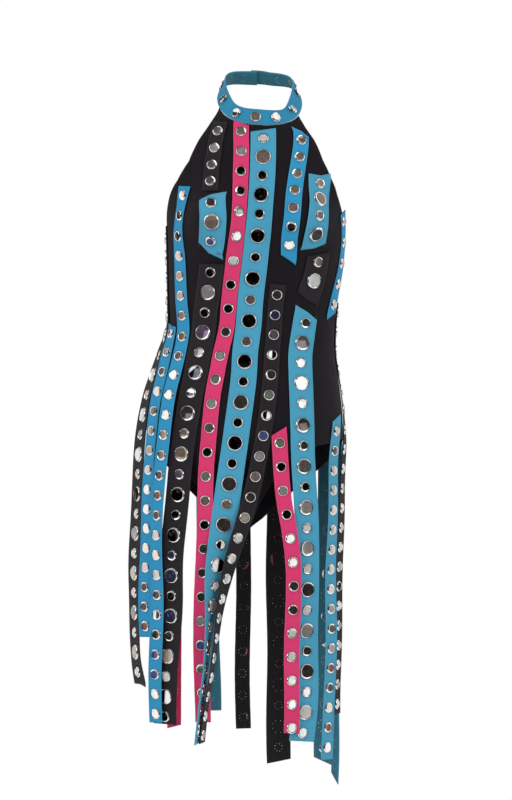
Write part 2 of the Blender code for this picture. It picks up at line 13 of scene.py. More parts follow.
import bpy
import numpy as np
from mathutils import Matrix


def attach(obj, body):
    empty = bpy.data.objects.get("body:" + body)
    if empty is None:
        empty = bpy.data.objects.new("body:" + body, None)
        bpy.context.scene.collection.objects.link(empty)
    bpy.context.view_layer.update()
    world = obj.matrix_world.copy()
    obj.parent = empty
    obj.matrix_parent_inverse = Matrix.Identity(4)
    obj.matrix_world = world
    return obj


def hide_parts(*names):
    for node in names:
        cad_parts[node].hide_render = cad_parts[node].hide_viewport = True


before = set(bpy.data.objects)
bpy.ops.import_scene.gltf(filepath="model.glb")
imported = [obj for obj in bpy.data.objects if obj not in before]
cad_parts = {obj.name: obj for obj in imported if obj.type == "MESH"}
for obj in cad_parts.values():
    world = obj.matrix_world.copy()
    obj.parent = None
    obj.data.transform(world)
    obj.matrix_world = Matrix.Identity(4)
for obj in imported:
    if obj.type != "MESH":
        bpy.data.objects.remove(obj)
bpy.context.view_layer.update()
MM = 0.001
print("nodes in the frame:", len(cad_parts))

# %% [markdown]
# The camera comes first, because every later choice is judged through it. The photo was
# taken level with the hips with a long lens, so the costume keeps its true proportions.
# A lens of 112 mm at 3.75 m sees 1.2 m from top to bottom.

# %% Camera
CAMERA_DISTANCE = 3.75
CAMERA_SIDE = -0.0045
CAMERA_HEIGHT = -0.45
VIEW_HEIGHT = 1.2
SENSOR = 36.0

camera_data = bpy.data.cameras.new("camera")
camera_data.sensor_width = SENSOR
camera_data.lens = SENSOR * CAMERA_DISTANCE / VIEW_HEIGHT
camera = bpy.data.objects.new("camera", camera_data)
camera.location = (CAMERA_SIDE, -CAMERA_DISTANCE, CAMERA_HEIGHT)
camera.rotation_euler = (math.radians(90), 0, 0)
bpy.context.collection.objects.link(camera)
bpy.context.scene.camera = camera
bpy.context.scene.view_settings.view_transform = "Standard"
print("camera lens:", round(camera_data.lens, 1), "mm")

# %% [markdown]
# The cloth follows one hollow form, the space that a wearer leaves. It could be sculpted,
# but a formula is easier to check: each level is a rounded oval with its own half width
# and its own depth in front and behind, and two soft cups are added at the bust.
# Here lengths are in millimetres. A drop is a depth below the collar, and an angle goes
# round from the middle of the front, with the right side positive.

# %% The form that the cloth is cut to
SQUARENESS = 2.3
BUST_FULLNESS = 30
BUST_ANGLE = 34.0
BUST_SPREAD = 21.0
BUST_DROP = 183
BUST_RISE = 50
BUST_FALL = 42

Section = namedtuple("Section", "drop centre_x half_width front_depth back_depth")
FORM = np.array((
    Section(-60, 0, 55, 50, 56),
    Section(-46, 0, 56, 51, 58),
    Section(-4, 0, 61, 55, 62),
    Section(20, 0, 71, 57, 72),
    Section(45, -1, 94, 64, 84),
    Section(70, -2, 119, 74, 92),
    Section(95, -3, 132, 82, 96),
    Section(125, -4, 138, 87, 97),
    Section(165, -5, 133, 89, 95),
    Section(200, -5, 132, 90, 92),
    Section(250, -6, 130, 87, 85),
    Section(300, -9, 126, 82, 77),
    Section(345, -11, 124, 80, 76),
    Section(383, -16, 129, 85, 85),
    Section(412, -18, 135, 91, 96),
    Section(442, -20, 141, 97, 106),
    Section(472, -21, 145, 101, 112),
    Section(502, -22, 147, 104, 115),
    Section(540, -24, 148, 106, 116),
    Section(650, -26, 152, 106, 116),
    Section(800, -28, 154, 101, 116),
    Section(1000, -28, 155, 95, 114),
    Section(1080, -28, 155, 93, 113),
), float)


def smooth_curve(at, knots, values):
    """Cubic between knots: each span blends its two ends' values and slopes."""
    knots = np.asarray(knots, float)
    values = np.asarray(values, float)
    slopes = np.gradient(values, knots)
    index = np.clip(np.searchsorted(knots, at) - 1, 0, len(knots) - 2)
    step = knots[index + 1] - knots[index]
    t = (np.clip(at, knots[0], knots[-1]) - knots[index]) / step
    start = (2 * t ** 3 - 3 * t ** 2 + 1) * values[index] + (t ** 3 - 2 * t ** 2 + t) * step * slopes[index]
    end = (3 * t ** 2 - 2 * t ** 3) * values[index + 1] + (t ** 3 - t ** 2) * step * slopes[index + 1]
    return start + end


def ease(t):
    """3 t squared minus 2 t cubed: goes from 0 to 1 with level ends."""
    t = np.clip(t, 0.0, 1.0)
    return t * t * (3 - 2 * t)


def unit(vectors):
    """Each vector divided by its own length."""
    return vectors / np.linalg.norm(vectors, axis=-1, keepdims=True)


LEVELS = np.arange(FORM[0, 0], FORM[-1, 0] + 1.0)
FORM_CURVES = [smooth_curve(LEVELS, FORM[:, 0], FORM[:, i]) for i in range(1, 5)]


def form_radius(angle, drop):
    """Superellipse in polar form, plus the cups: two bell curves round and up."""
    half_width, front, back = (np.interp(drop, LEVELS, curve) for curve in FORM_CURVES[1:])
    turn = np.radians(angle)
    across, ahead = np.sin(turn), np.cos(turn)
    depth = np.where(ahead > 0, front, back)
    oval = (np.abs(across) / half_width) ** SQUARENESS + (np.abs(ahead) / depth) ** SQUARENESS
    rise = BUST_DROP - drop
    tall = np.exp(-(rise / np.where(rise > 0, BUST_RISE, BUST_FALL)) ** 2)
    turned = (angle + 180) % 360 - 180
    cups = sum(np.exp(-((turned - side * BUST_ANGLE) / BUST_SPREAD) ** 2) for side in (-1, 1))
    return oval ** (-1 / SQUARENESS) + BUST_FULLNESS * tall * cups


def form_point(angle, drop):
    """Centre of the level plus the radius in the direction of the angle."""
    angle, drop = np.broadcast_arrays(np.asarray(angle, float), np.asarray(drop, float))
    radius = form_radius(angle, drop)
    turn = np.radians(angle)
    x = np.interp(drop, LEVELS, FORM_CURVES[0]) + radius * np.sin(turn)
    return np.stack((x, -radius * np.cos(turn), -drop), axis=-1)


def form_normal(angle, drop):
    """Cross product of a short step round the form and a short step up it."""
    around = form_point(angle + 0.5, drop) - form_point(angle - 0.5, drop)
    up = form_point(angle, drop - 1) - form_point(angle, drop + 1)
    return unit(np.cross(around, up))


def form_angle(points):
    """Angle of points round the centre of their own level."""
    middle = np.interp(-points[..., 2], LEVELS, FORM_CURVES[0])
    return np.degrees(np.arctan2(points[..., 0] - middle, -points[..., 1]))


print("form at the waist:", form_point(0.0, 345.0).round(1), "mm")

# %% [markdown]
# Each strip is a row of a table: its cloth, its width, how far its ends are cut on the
# slant, its runs of mirrors, and the line that it follows down the form. The same table
# built the solids, so the fine pieces land on them with no fitting. A lift holds a strip
# off the form where it passes over another, and a twist turns it as it hangs.

# %% Strips
NARROW = 23.5
WIDE = 38.5
Strip = namedtuple("Strip", "name cloth width slants mirrors sizes path")
Step = namedtuple("Step", "drop angle lift twist", defaults=(0.0, 0.0))
STRIPS = (
    Strip("black_strip_chest", "black", NARROW, (0, 0), ((55, 131, 4),), "S",
          (Step(41, -47.2), Step(84, -41.6), Step(115, -38.8), Step(146, -34.8))),
    Strip("turquoise_patch_chest", "turquoise", WIDE, (-15, 24), ((164, 216, 3),), "SL",
          (Step(152, -32.8), Step(188, -30.4), Step(223, -35.8), Step(233, -38.4))),
    Strip("black_strip_waist", "black", WIDE, (0, 0), ((262, 915, 23),), "SL",
          (Step(250, -38.5), Step(291, -42.1), Step(335, -45.5), Step(379, -44.4),
           Step(424, -43.4), Step(470, -43.8), Step(509, -44.9), Step(589, -46.2),
           Step(684, -49.1), Step(743, -50.2), Step(817, -53), Step(926, -54.9))),
    Strip("pink_strip_front", "pink", NARROW, (8, 0), ((56, 175, 5), (210, 878, 20)), "S",
          (Step(43.5, -22.5), Step(83, -17), Step(128, -14.8), Step(189, -15),
           Step(245, -20.0), Step(324, -24.7), Step(430, -26.8), Step(581, -27.4),
           Step(767, -29.5), Step(858, -30.5), Step(921, -30.2))),
    Strip("turquoise_strip_centre", "turquoise", WIDE, (-6, 0),
          ((66.5, 178, 5), (209, 365, 6), (394.5, 750, 13), (779, 926, 6)), "SL",
          (Step(54, 6.6), Step(89, 6.4), Step(165, 4.6), Step(242, 0.1), Step(347, -3.5),
           Step(428, -2.7), Step(494, -6.0), Step(558, -8.9), Step(610, -12.0, 0, 4),
           Step(669, -16.5, 0, 18), Step(712, -20.0, 1, 42), Step(756, -22.6, 4, 66),
           Step(815, -24.0, 20, 80), Step(850, -25.2, 26, 83), Step(874, -26.8, 27, 84),
           Step(947, -31.2, 28, 84))),
    Strip("black_strip_centre", "black", NARROW, (0, 0), ((295.5, 739.5, 16), (767, 935, 7)), "S",
          (Step(280, 24), Step(325, 23.1), Step(377, 23.1), Step(435, 20.5),
           Step(504, 15.2), Step(552, 11.2, 1.5), Step(596, 6.2, 3, 4), Step(632, 0.9, 4, 14),
           Step(666, -4.6, 4, 28), Step(709, -10.8, 4, 47), Step(756, -16.4, 6, 66),
           Step(815, -20.0, 21, 80), Step(850, -22.0, 27, 83), Step(874, -23.9, 27, 84),
           Step(947, -28.3, 28, 84))),
    Strip("turquoise_strip_bust", "turquoise", NARROW, (16, 14), ((68.5, 222, 7),), "S",
          (Step(55, 47.6), Step(108, 36.8), Step(159, 28.4), Step(202, 26.3), Step(243, 29.8))),
    Strip("turquoise_patch_bust", "turquoise", WIDE, (-6, -14), ((133, 205, 4),), "SL",
          (Step(121, 52.7), Step(157, 46.8, 1.2, -6), Step(190, 41.9, 2.7, -12),
           Step(225, 45.2, 2.7, -12))),
    Strip("black_patch_ribs", "black", WIDE, (-10, 14), ((246, 274, 2),), "SL",
          (Step(235, 53), Step(266, 53.2), Step(303, 50.2))),
    Strip("turquoise_strip_hip", "turquoise", WIDE, (18, 0), ((336.5, 455, 5), (487, 938, 16)), "SL",
          (Step(320, 50.6), Step(356, 48.7), Step(397, 46.2), Step(450, 44.5),
           Step(501, 43.9), Step(560, 45), Step(618, 46.4), Step(684, 47.4),
           Step(758, 48.8), Step(890, 49.1), Step(950, 46.4))),
    Strip("turquoise_strip_side", "turquoise", NARROW, (-8, -14), ((184, 308, 5),), "S",
          (Step(170, 76.5), Step(211, 80), Step(244, 79), Step(271, 77.5), Step(324, 73.4))),
    Strip("turquoise_strip_thigh", "turquoise", NARROW, (-13, 0), ((496, 962, 17),), "S",
          (Step(478, 71.6), Step(516, 68.5), Step(583, 66.4), Step(656, 65.6),
           Step(883, 65.2), Step(980, 64.0))),
    Strip("pink_strip_thigh", "pink", NARROW, (-13, 0), ((513, 929, 13),), "S",
          (Step(496, 27.2, 2.4), Step(540, 28.8, 1.5), Step(596, 31.1, 3), Step(640, 34.2, 6),
           Step(691, 37.1, 7), Step(742, 38.6, 7), Step(845, 39.0, 7), Step(936, 38.8, 7))),
    Strip("turquoise_strip_left", "turquoise", NARROW, (0, 0), ((149, 325, 7), (357, 911, 20)), "S",
          (Step(136, -57), Step(170, -58.6), Step(206, -62.8), Step(240, -64),
           Step(332, -63.2), Step(376, -60.2), Step(418, -58.6, 3), Step(462, -58.0, 5),
           Step(582, -57.6, 7), Step(744, -58.4, 7), Step(924, -59.4, 7))),
    Strip("turquoise_strip_left_hip", "turquoise", NARROW, (8, 0), ((352, 784, 16),), "S",
          (Step(340, -75), Step(382, -71, 2.5, 10), Step(420, -69.3, 2.5, 12),
           Step(468, -69, 2.5, 12), Step(568, -68.8, 2.5, 12), Step(716, -68.2, 2.5, 12),
           Step(800, -67.8, 2.5, 12))),
    Strip("black_strip_left_side", "black", WIDE, (0, 6), ((207, 857, 23),), "SL",
          (Step(190, -90), Step(250, -90), Step(310, -90, 0.6, 6), Step(363, -90, 2.2, 13),
           Step(410, -90, 3.4, 17), Step(450, -90, 4.6, 20), Step(511, -90, 6.4, 26),
           Step(573, -90, 6, 26), Step(650, -89.5, 4.5, 26), Step(730, -89, 4, 26),
           Step(800, -88.5, 3, 26), Step(840, -87.5, -1, 24), Step(875, -86, -8, 24))),
    Strip("black_strip_right_side", "black", NARROW, (0, 0), ((318, 905, 21),), "S",
          (Step(304, 90), Step(380, 90, 0, -3), Step(430, 90, 0.3, -6), Step(480, 90, 0.8, -10),
           Step(520, 89.5, 1.2, -16), Step(580, 89, -2, -20), Step(650, 88.5, -6, -24),
           Step(720, 88, -8, -24), Step(800, 88, -10, -24), Step(920, 88, -11, -24))),
    Strip("back_turquoise_left", "turquoise", NARROW, (0, 0), ((229, 860, 20),), "S",
          (Step(215, -118), Step(600, -118), Step(876, -119))),
    Strip("back_pink", "pink", NARROW, (0, 4), ((247, 932, 21),), "S",
          (Step(232, -135), Step(600, -133), Step(952, -133))),
    Strip("back_turquoise_wide", "turquoise", WIDE, (8, 0), ((276, 912, 21),), "SL",
          (Step(260, -158), Step(600, -155), Step(930, -156))),
    Strip("back_black_narrow", "black", NARROW, (0, 0), ((298, 940, 20),), "S",
          (Step(284, -181), Step(600, -181), Step(958, -182))),
    Strip("back_black_wide", "black", WIDE, (-8, 8), ((276, 986, 23),), "SL",
          (Step(260, -205), Step(600, -206.7), Step(1008, -208.5))),
    Strip("back_black_side", "black", NARROW, (0, 0), ((255, 942, 21),), "S",
          (Step(240, 132), Step(600, 134.3), Step(958, 136.5))),
    Strip("back_turquoise_hip", "turquoise", WIDE, (0, -10), ((250, 982, 23),), "SL",
          (Step(234, 116), Step(450, 118), Step(700, 119.5), Step(1003, 121.5))),
    Strip("back_turquoise_side", "turquoise", NARROW, (0, -16), ((324, 1004, 21),), "S",
          (Step(308, 103), Step(600, 105), Step(1024, 106.5, -7))),
)
print("strips:", len(STRIPS))

# %% [markdown]
# Effects that several materials share are shader node groups, built once and set to
# different values in each cloth. This helper makes a group with named sockets.

# %% Helpers for shader nodes
def new_group(name, inputs, outputs):
    """Node group whose sockets are (name, type, default) rows; returns it and its ends."""
    group = bpy.data.node_groups.new(name, "ShaderNodeTree")
    for label, kind, value in inputs:
        socket = group.interface.new_socket(label, in_out="INPUT", socket_type=kind)
        if value is not None:
            socket.default_value = value
    for label in outputs:
        group.interface.new_socket(label, in_out="OUTPUT", socket_type="NodeSocketFloat")
    return group, group.nodes.new("NodeGroupInput"), group.nodes.new("NodeGroupOutput")


def link(tree, value, socket):
    """Sets a socket to a number or colour, or links another socket to it."""
    if isinstance(value, bpy.types.NodeSocket):
        tree.links.new(value, socket)
    else:
        socket.default_value = value


def math_node(tree, operation, *values):
    """Math node with its inputs set or linked; returns its output."""
    node = tree.nodes.new("ShaderNodeMath")
    node.operation = operation
    for value, socket in zip(values, node.inputs):
        link(tree, value, socket)
    return node.outputs[0]


def map_range(tree, value, low, high, to_low=0.0, to_high=1.0, smooth=False):
    """Map Range node from low..high to to_low..to_high, clamped."""
    node = tree.nodes.new("ShaderNodeMapRange")
    node.interpolation_type = "SMOOTHSTEP" if smooth else "LINEAR"
    for label, number in (("From Min", low), ("From Max", high), ("To Min", to_low), ("To Max", to_high)):
        node.inputs[label].default_value = number
    link(tree, value, node.inputs["Value"])
    return node.outputs["Result"]


def mix_colour(tree, factor, first, second, blend="MIX"):
    """Mix node for colours; returns its colour output."""
    node = tree.nodes.new("ShaderNodeMix")
    node.data_type = "RGBA"
    node.blend_type = blend
    link(tree, factor, node.inputs["Factor"])
    link(tree, first, node.inputs[6])
    link(tree, second, node.inputs[7])
    return node.outputs[2]


def noise_node(tree, vector, scale, detail=2.0, roughness=0.5):
    """Noise texture read at a vector; returns its factor output."""
    node = tree.nodes.new("ShaderNodeTexNoise")
    node.inputs["Scale"].default_value = scale
    node.inputs["Detail"].default_value = detail
    node.inputs["Roughness"].default_value = roughness
    tree.links.new(vector, node.inputs["Vector"])
    return node.outputs["Fac"]


def scaled(tree, vector, factors):
    """Mapping node that scales a vector by three factors."""
    node = tree.nodes.new("ShaderNodeMapping")
    node.inputs["Scale"].default_value = factors
    tree.links.new(vector, node.inputs["Vector"])
    return node.outputs["Vector"]


def times(tree, first, second):
    """Product of two values."""
    return math_node(tree, "MULTIPLY", first, second)


def plus(tree, first, second):
    """Sum of two values."""
    return math_node(tree, "ADD", first, second)


def split_axes(tree, vector):
    """X, Y and Z of a vector, each as an output."""
    node = tree.nodes.new("ShaderNodeSeparateXYZ")
    tree.links.new(vector, node.inputs[0])
    return node.outputs


def new_material(name):
    """Material, its node tree, its Principled shader and the place of a point on the object."""
    material = bpy.data.materials.new(name)
    material.use_nodes = True
    tree = material.node_tree
    place = tree.nodes.new("ShaderNodeTexCoord").outputs["Object"]
    return material, tree, tree.nodes["Principled BSDF"], place


def add_bump(tree, shader, height, strength, distance):
    """Bends the shader's normal by a height; the distance is in mm."""
    bump = tree.nodes.new("ShaderNodeBump")
    bump.inputs["Strength"].default_value = strength
    bump.inputs["Distance"].default_value = distance * MM
    tree.links.new(height, bump.inputs["Height"])
    tree.links.new(bump.outputs["Normal"], shader.inputs["Normal"])


# %% [markdown]
# Stretch cloth is knitted. Close up its face is columns of small Vs. A picture of a knit
# could be tiled, but two waves do it at any size: one wave for the columns, and one for
# the rows, bent up and down inside each column so that the rows become Vs.

# %% Knit group
KNIT_COLUMNS = 1300.0


def make_knit_group():
    """Height is 0.5 plus 0.3 of the column wave and 0.2 of the bent row wave."""
    group, start, end = new_group("knit", (("Vector", "NodeSocketVector", None),
                                           ("Columns", "NodeSocketFloat", KNIT_COLUMNS)), ("Height",))
    parts = split_axes(group, start.outputs["Vector"])
    column, row = (times(group, parts[axis], start.outputs["Columns"]) for axis in "XY")
    bent = plus(group, row, math_node(group, "PINGPONG", column, 0.5))
    waves = [math_node(group, "COSINE", times(group, value, 2 * math.pi)) for value in (column, bent)]
    both = plus(group, times(group, waves[0], 0.3), times(group, waves[1], 0.2))
    group.links.new(plus(group, both, 0.5), end.inputs["Height"])
    return group


KNIT = make_knit_group()
print("knit columns for each metre:", KNIT_COLUMNS)

# %% [markdown]
# Dyed cloth is never one colour. It has broad cloudy patches from handling, and faint
# streaks along its length where the knit has been pulled. Both are noise: one even in
# all directions, and one squeezed across the strip and stretched along it.

# %% Cloth tone group
PATCH_SCALE = 14.0
STREAK_SCALES = (420, 16, 1)
GRAIN_SCALE = 1500.0
GRAIN_SHARE = 0.25


def make_tone_group():
    """Tone is 0.5 plus the patches, the streaks and a fine grain, each about its middle."""
    group, start, end = new_group(
        "cloth_tone",
        (("Place", "NodeSocketVector", None), ("Along", "NodeSocketVector", None),
         ("Patches", "NodeSocketFloat", 0.5), ("Streaks", "NodeSocketFloat", 0.4)),
        ("Tone", "Grain"))
    patches = noise_node(group, start.outputs["Place"], PATCH_SCALE, 3.0)
    streaks = noise_node(group, scaled(group, start.outputs["Along"], STREAK_SCALES), 1.0, 3.0, 0.6)
    grain = noise_node(group, start.outputs["Place"], GRAIN_SCALE, 2.0, 0.7)
    tone = 0.5
    for value, share in ((patches, start.outputs["Patches"]), (streaks, start.outputs["Streaks"]),
                         (grain, GRAIN_SHARE)):
        tone = plus(group, times(group, math_node(group, "SUBTRACT", value, 0.5), share), tone)
    group.links.new(tone, end.inputs["Tone"])
    group.links.new(grain, end.inputs["Grain"])
    return group


TONE = make_tone_group()

# %% [markdown]
# Cloth is worn where it is touched: fibres rub up along a cut edge and look paler. A soft
# dark ring of painted shade lies where the cloth meets the rim of a mirror. Each mesh
# carries two numbers at every point for this: how near the edge it is, and how near a rim.

# %% Wear and painted shade group
def make_wear_group():
    """Rub is the edge number broken by noise; the painted shade is the rim number broken the same way."""
    group, start, end = new_group(
        "wear_and_shade", (("Place", "NodeSocketVector", None), ("Edge", "NodeSocketFloat", 0.0),
                 ("Rim", "NodeSocketFloat", 0.0)), ("Rub", "PaintedShade"))
    broken = map_range(group, noise_node(group, start.outputs["Place"], 260.0, 3.0), 0.3, 0.7, 0.35, 1.0)
    group.links.new(times(group, start.outputs["Edge"], broken), end.inputs["Rub"])
    group.links.new(times(group, start.outputs["Rim"], broken), end.inputs["PaintedShade"])
    return group


WEAR_AND_SHADE = make_wear_group()
print("groups:", ", ".join(group.name for group in (KNIT, TONE, WEAR_AND_SHADE)))

# %% [markdown]
# Every cloth is one material recipe with its own colours: a deeper and a paler tone of
# the dye, and a darker colour for its wrong side, painted shade for the side turned from
# the light. The turquoise came in three dye lots: the strips on the left are a cleaner blue
# and the collar is deeper. The knit drives the bump and also paints the tops of its loops
# paler, a painted highlight, and a little sheen stands for the fibres that catch light at a slant.

# %% Cloth materials
# The fourth colour is the wrong side's painted shade, also used for the painted shade round mirror rims;
# the fifth is the paler colour of rubbed edges, real wear, and of the painted highlight on the knit loops.
Dye = namedtuple("Dye", "deep pale reverse rubbed sheen roughness")
DYES = {
    "turquoise": Dye((0.040, 0.243, 0.388), (0.062, 0.306, 0.456), (0.022, 0.120, 0.170),
                     (0.100, 0.380, 0.520), 0.10, 0.72),
    "azure": Dye((0.013, 0.212, 0.420), (0.026, 0.278, 0.510), (0.022, 0.130, 0.190),
                 (0.070, 0.340, 0.520), 0.06, 0.72),
    "collar": Dye((0.013, 0.175, 0.310), (0.026, 0.230, 0.385), (0.022, 0.130, 0.180),
                  (0.070, 0.300, 0.450), 0.07, 0.72),
    "pink": Dye((0.500, 0.020, 0.095), (0.620, 0.042, 0.155), (0.440, 0.010, 0.062),
                (0.700, 0.090, 0.220), 0.08, 0.70),
    "black": Dye((0.0115, 0.0088, 0.0118), (0.0172, 0.0138, 0.0178), (0.0080, 0.0068, 0.0080),
                 (0.0300, 0.0270, 0.0310), 0.07, 0.78),
    "leotard": Dye((0.0052, 0.0038, 0.0056), (0.0086, 0.0064, 0.0092), (0.0060, 0.0046, 0.0062),
                   (0.0180, 0.0150, 0.0190), 0.03, 0.82),
}
RUB_SHARE = 0.45
# Share of the painted shade ring round each mirror rim.
RIM_SHADE_SHARE = 0.35
# Share of the painted highlight that makes the tops of the knit loops paler.
KNIT_HIGHLIGHT_SHARE = 0.12


def place_group(tree, group, **values):
    """Adds a group to a material and sets or links its inputs by name."""
    node = tree.nodes.new("ShaderNodeGroup")
    node.node_tree = group
    for label, value in values.items():
        link(tree, value, node.inputs[label])
    return node


def attribute(tree, name, output="Fac"):
    """Attribute node that reads a number or colour stored on the mesh."""
    node = tree.nodes.new("ShaderNodeAttribute")
    node.attribute_name = name
    return node.outputs[output]


def cloth_material(name, dye):
    """Deep to pale by tone, then the wrong side's painted shade, the rubbed edge, the painted shade round
    each rim and the painted highlight on the knit.
    """
    material, tree, shader, place = new_material(name)
    along = tree.nodes.new("ShaderNodeUVMap")
    along.uv_map = "cloth"
    along = along.outputs["UV"]
    tone = place_group(tree, TONE, Place=place, Along=along, Patches=0.5, Streaks=0.4)
    knit = place_group(tree, KNIT, Vector=along, Columns=KNIT_COLUMNS)
    wear_and_shade = place_group(tree, WEAR_AND_SHADE, Place=place, Edge=attribute(tree, "edge"), Rim=attribute(tree, "rim"))
    colour = mix_colour(tree, tone.outputs["Tone"], (*dye.deep, 1), (*dye.pale, 1))
    # Painted shade: the wrong side is mixed to a darker colour.
    for factor, over in ((attribute(tree, "reverse"), dye.reverse),
                         (times(tree, wear_and_shade.outputs["Rub"], RUB_SHARE), dye.rubbed),
                         # Painted shade: a dark ring round each mirror rim, in the wrong side's colour.
                         (times(tree, wear_and_shade.outputs["PaintedShade"], RIM_SHADE_SHARE), dye.reverse),
                         # Painted highlight: the tops of the knit loops mixed to the paler colour.
                         (times(tree, knit.outputs["Height"], KNIT_HIGHLIGHT_SHARE), dye.rubbed)):
        colour = mix_colour(tree, factor, colour, (*over, 1))
    tree.links.new(colour, shader.inputs["Base Color"])
    rough = map_range(tree, tone.outputs["Grain"], 0.3, 0.7, dye.roughness - 0.06, dye.roughness + 0.08)
    tree.links.new(rough, shader.inputs["Roughness"])
    shader.inputs["Sheen Weight"].default_value = dye.sheen
    shader.inputs["Sheen Roughness"].default_value = 0.45
    shader.inputs["Specular IOR Level"].default_value = 0.25
    relief = plus(tree, times(tree, knit.outputs["Height"], 0.6), times(tree, tone.outputs["Grain"], 0.4))
    add_bump(tree, shader, relief, 0.35, 0.25)
    return material


CLOTH = {name: cloth_material(f"{name}_cloth", dye) for name, dye in DYES.items()}
print("cloths:", ", ".join(CLOTH))

# %% [markdown]
# The mirrors are small discs of silvered glass, and they reflect the room. Each disc's
# reflection is also painted into its glass: many have a metal colour of a few percent, a
# painted dark reflection, some are painted brown, blue or grey, and some a pale matt
# colour, a painted white reflection. Each disc's painted colour and matt share are stored
# on the mesh, and in some the paint stops at a line across the disc. The rims are bright stamped metal.

# %% Mirror, metal and thread materials
# Painted dark reflection: the metal colour of a split disc's unpainted side.
DARK_REFLECTION_PAINT = (0.06, 0.06, 0.08, 1)
SMUDGE = (0.50, 0.49, 0.47, 1)
TARNISH = (0.62, 0.60, 0.56)
PLY_WAVES = 9000.0


def mirror_material():
    """Metal reflection in each disc's painted reflection colour, partly matt, with a faint film of smudges.
    """
    material, tree, shader, place = new_material("mirror_glass")
    smudge = noise_node(tree, place, 240.0, 3.0, 0.6)
    tree.links.new(map_range(tree, smudge, 0.35, 0.75, 0.015, 0.085), shader.inputs["Roughness"])
    # Painted reflection: each disc's colour and matt share come from the mesh and stand for what it
    # reflects.
    painted_side = map_range(tree, attribute(tree, "side"), -0.07, 0.07)
    glass = mix_colour(tree, painted_side, DARK_REFLECTION_PAINT, attribute(tree, "tint", "Color"))
    film = mix_colour(tree, map_range(tree, smudge, 0.50, 0.78, 0.0, 0.12), glass, SMUDGE)
    tree.links.new(film, shader.inputs["Base Color"])
    patchy = map_range(tree, smudge, 0.30, 0.70, 0.80, 1.12)
    # Painted reflection: the matt share makes the disc show its painted colour.
    fog = times(tree, times(tree, attribute(tree, "fog"), painted_side), patchy)
    tree.links.new(math_node(tree, "SUBTRACT", 1.0, fog), shader.inputs["Metallic"])
    return material


def metal_material(name, colour, low, high):
    """Bright plated metal: scratches are noise stretched along one way."""
    material, tree, shader, place = new_material(name)
    shader.inputs["Metallic"].default_value = 1.0
    scratch = noise_node(tree, scaled(tree, place, (900, 900, 2600)), 1.0, 3.0, 0.6)
    dull = noise_node(tree, place, 180.0, 2.0)
    tree.links.new(map_range(tree, scratch, 0.3, 0.7, low, high), shader.inputs["Roughness"])
    tarnished = tuple(bright * share for bright, share in zip(colour, TARNISH))
    shade = mix_colour(tree, map_range(tree, dull, 0.4, 0.75, 0.0, 0.5), (*colour, 1), (*tarnished, 1))
    tree.links.new(shade, shader.inputs["Base Color"])
    add_bump(tree, shader, scratch, 0.15, 0.1)
    return material


def thread_material(name, colour):
    """Twisted thread: a fine slanting wave shades the ply."""
    material, tree, shader, place = new_material(name)
    parts = split_axes(tree, place)
    ply = math_node(tree, "SINE", times(tree, plus(tree, parts["Z"], parts["X"]), PLY_WAVES))
    shadow = tuple(0.55 * part for part in colour)
    shade = mix_colour(tree, map_range(tree, ply, -1.0, 1.0, 0.1, 0.9), (*shadow, 1), (*colour, 1))
    tree.links.new(shade, shader.inputs["Base Color"])
    shader.inputs["Roughness"].default_value = 0.6
    shader.inputs["Sheen Weight"].default_value = 0.2
    return material


GLASS = mirror_material()
RIM = metal_material("rim_metal", (0.88, 0.87, 0.84), 0.10, 0.22)
SNAP_METAL = metal_material("snap_metal", (0.80, 0.79, 0.77), 0.14, 0.30)
THREAD = {name: thread_material(f"{name}_thread", dye.deep) for name, dye in DYES.items()}
print("metals and threads:", 2 + len(THREAD))

# %% [markdown]
# A mesh is made from whole arrays: points, faces, a flat map of the cloth in metres for
# the knit to follow, and the numbers that the materials read. The flat map is exact, so
# the knit keeps its size however the cloth bends.

# %% Put arrays into a mesh
def make_piece(name, points, faces, materials, flat=None, marks=None, second=None):
    """Object at the origin from points in mm; marks are {name: number at each point}."""
    mesh = bpy.data.meshes.new(name)
    mesh.from_pydata((points * MM).tolist(), [], faces)
    for material in materials:
        mesh.materials.append(material)
    if flat is not None:
        corners = np.empty(len(mesh.loops), dtype=np.int32)
        mesh.loops.foreach_get("vertex_index", corners)
        layer = mesh.uv_layers.new(name="cloth")
        layer.data.foreach_set("uv", (flat * MM)[corners].astype(np.float32).ravel())
    for label, values in (marks or {}).items():
        if values.ndim == 2:
            colour = mesh.attributes.new(label, "FLOAT_COLOR", "POINT")
            colour.data.foreach_set("color", np.pad(values, ((0, 0), (0, 1)), constant_values=1).ravel())
        else:
            number = mesh.attributes.new(label, "FLOAT", "POINT")
            number.data.foreach_set("value", values.astype(np.float32))
    if second is not None:
        mesh.polygons.foreach_set("material_index", second.astype(np.int32))
    mesh.shade_smooth()
    mesh.update()
    piece = bpy.data.objects.new(name, mesh)
    bpy.context.collection.objects.link(piece)
    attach(piece, "root")
    return piece


def grid_quads(rows, columns, closed=False):
    """Faces between neighbouring rows and columns; closed joins the last column to the first."""
    row = np.arange(rows - 1)[:, None]
    column = np.arange(columns if closed else columns - 1)[None, :]
    after = (column + 1) % columns
    corners = (row * columns + column, (row + 1) * columns + column,
               (row + 1) * columns + after, row * columns + after)
    return np.stack(np.broadcast_arrays(*corners), axis=-1).reshape(-1, 4)


# %% [markdown]
# A strip is a thin slab of cloth with soft rounded edges. It could be a sheet with a
# Solidify modifier, but here a closed profile is carried along the strip, because its
# edge shows from the side and its face is not flat: it is drawn in round every mirror,
# has a low hem at each side, and narrows a little between mirrors. Below the hips it
# hangs free, so a slow wave runs down it.

# %% Surface of a strip
LEOTARD_WALL = 1.2
STRIP_WALL = 1.3
STRIP_GAP = 0.4
FLAT_FROM = 500
FLAT_LENGTH = 120
SWAY_FROM = 470
SWAY_LENGTH = 260
SWAY_OUT = 1.0
SWAY_ACROSS = 1.1
SWAY_TURN = 3.0
SLANT_LENGTH = 30.0


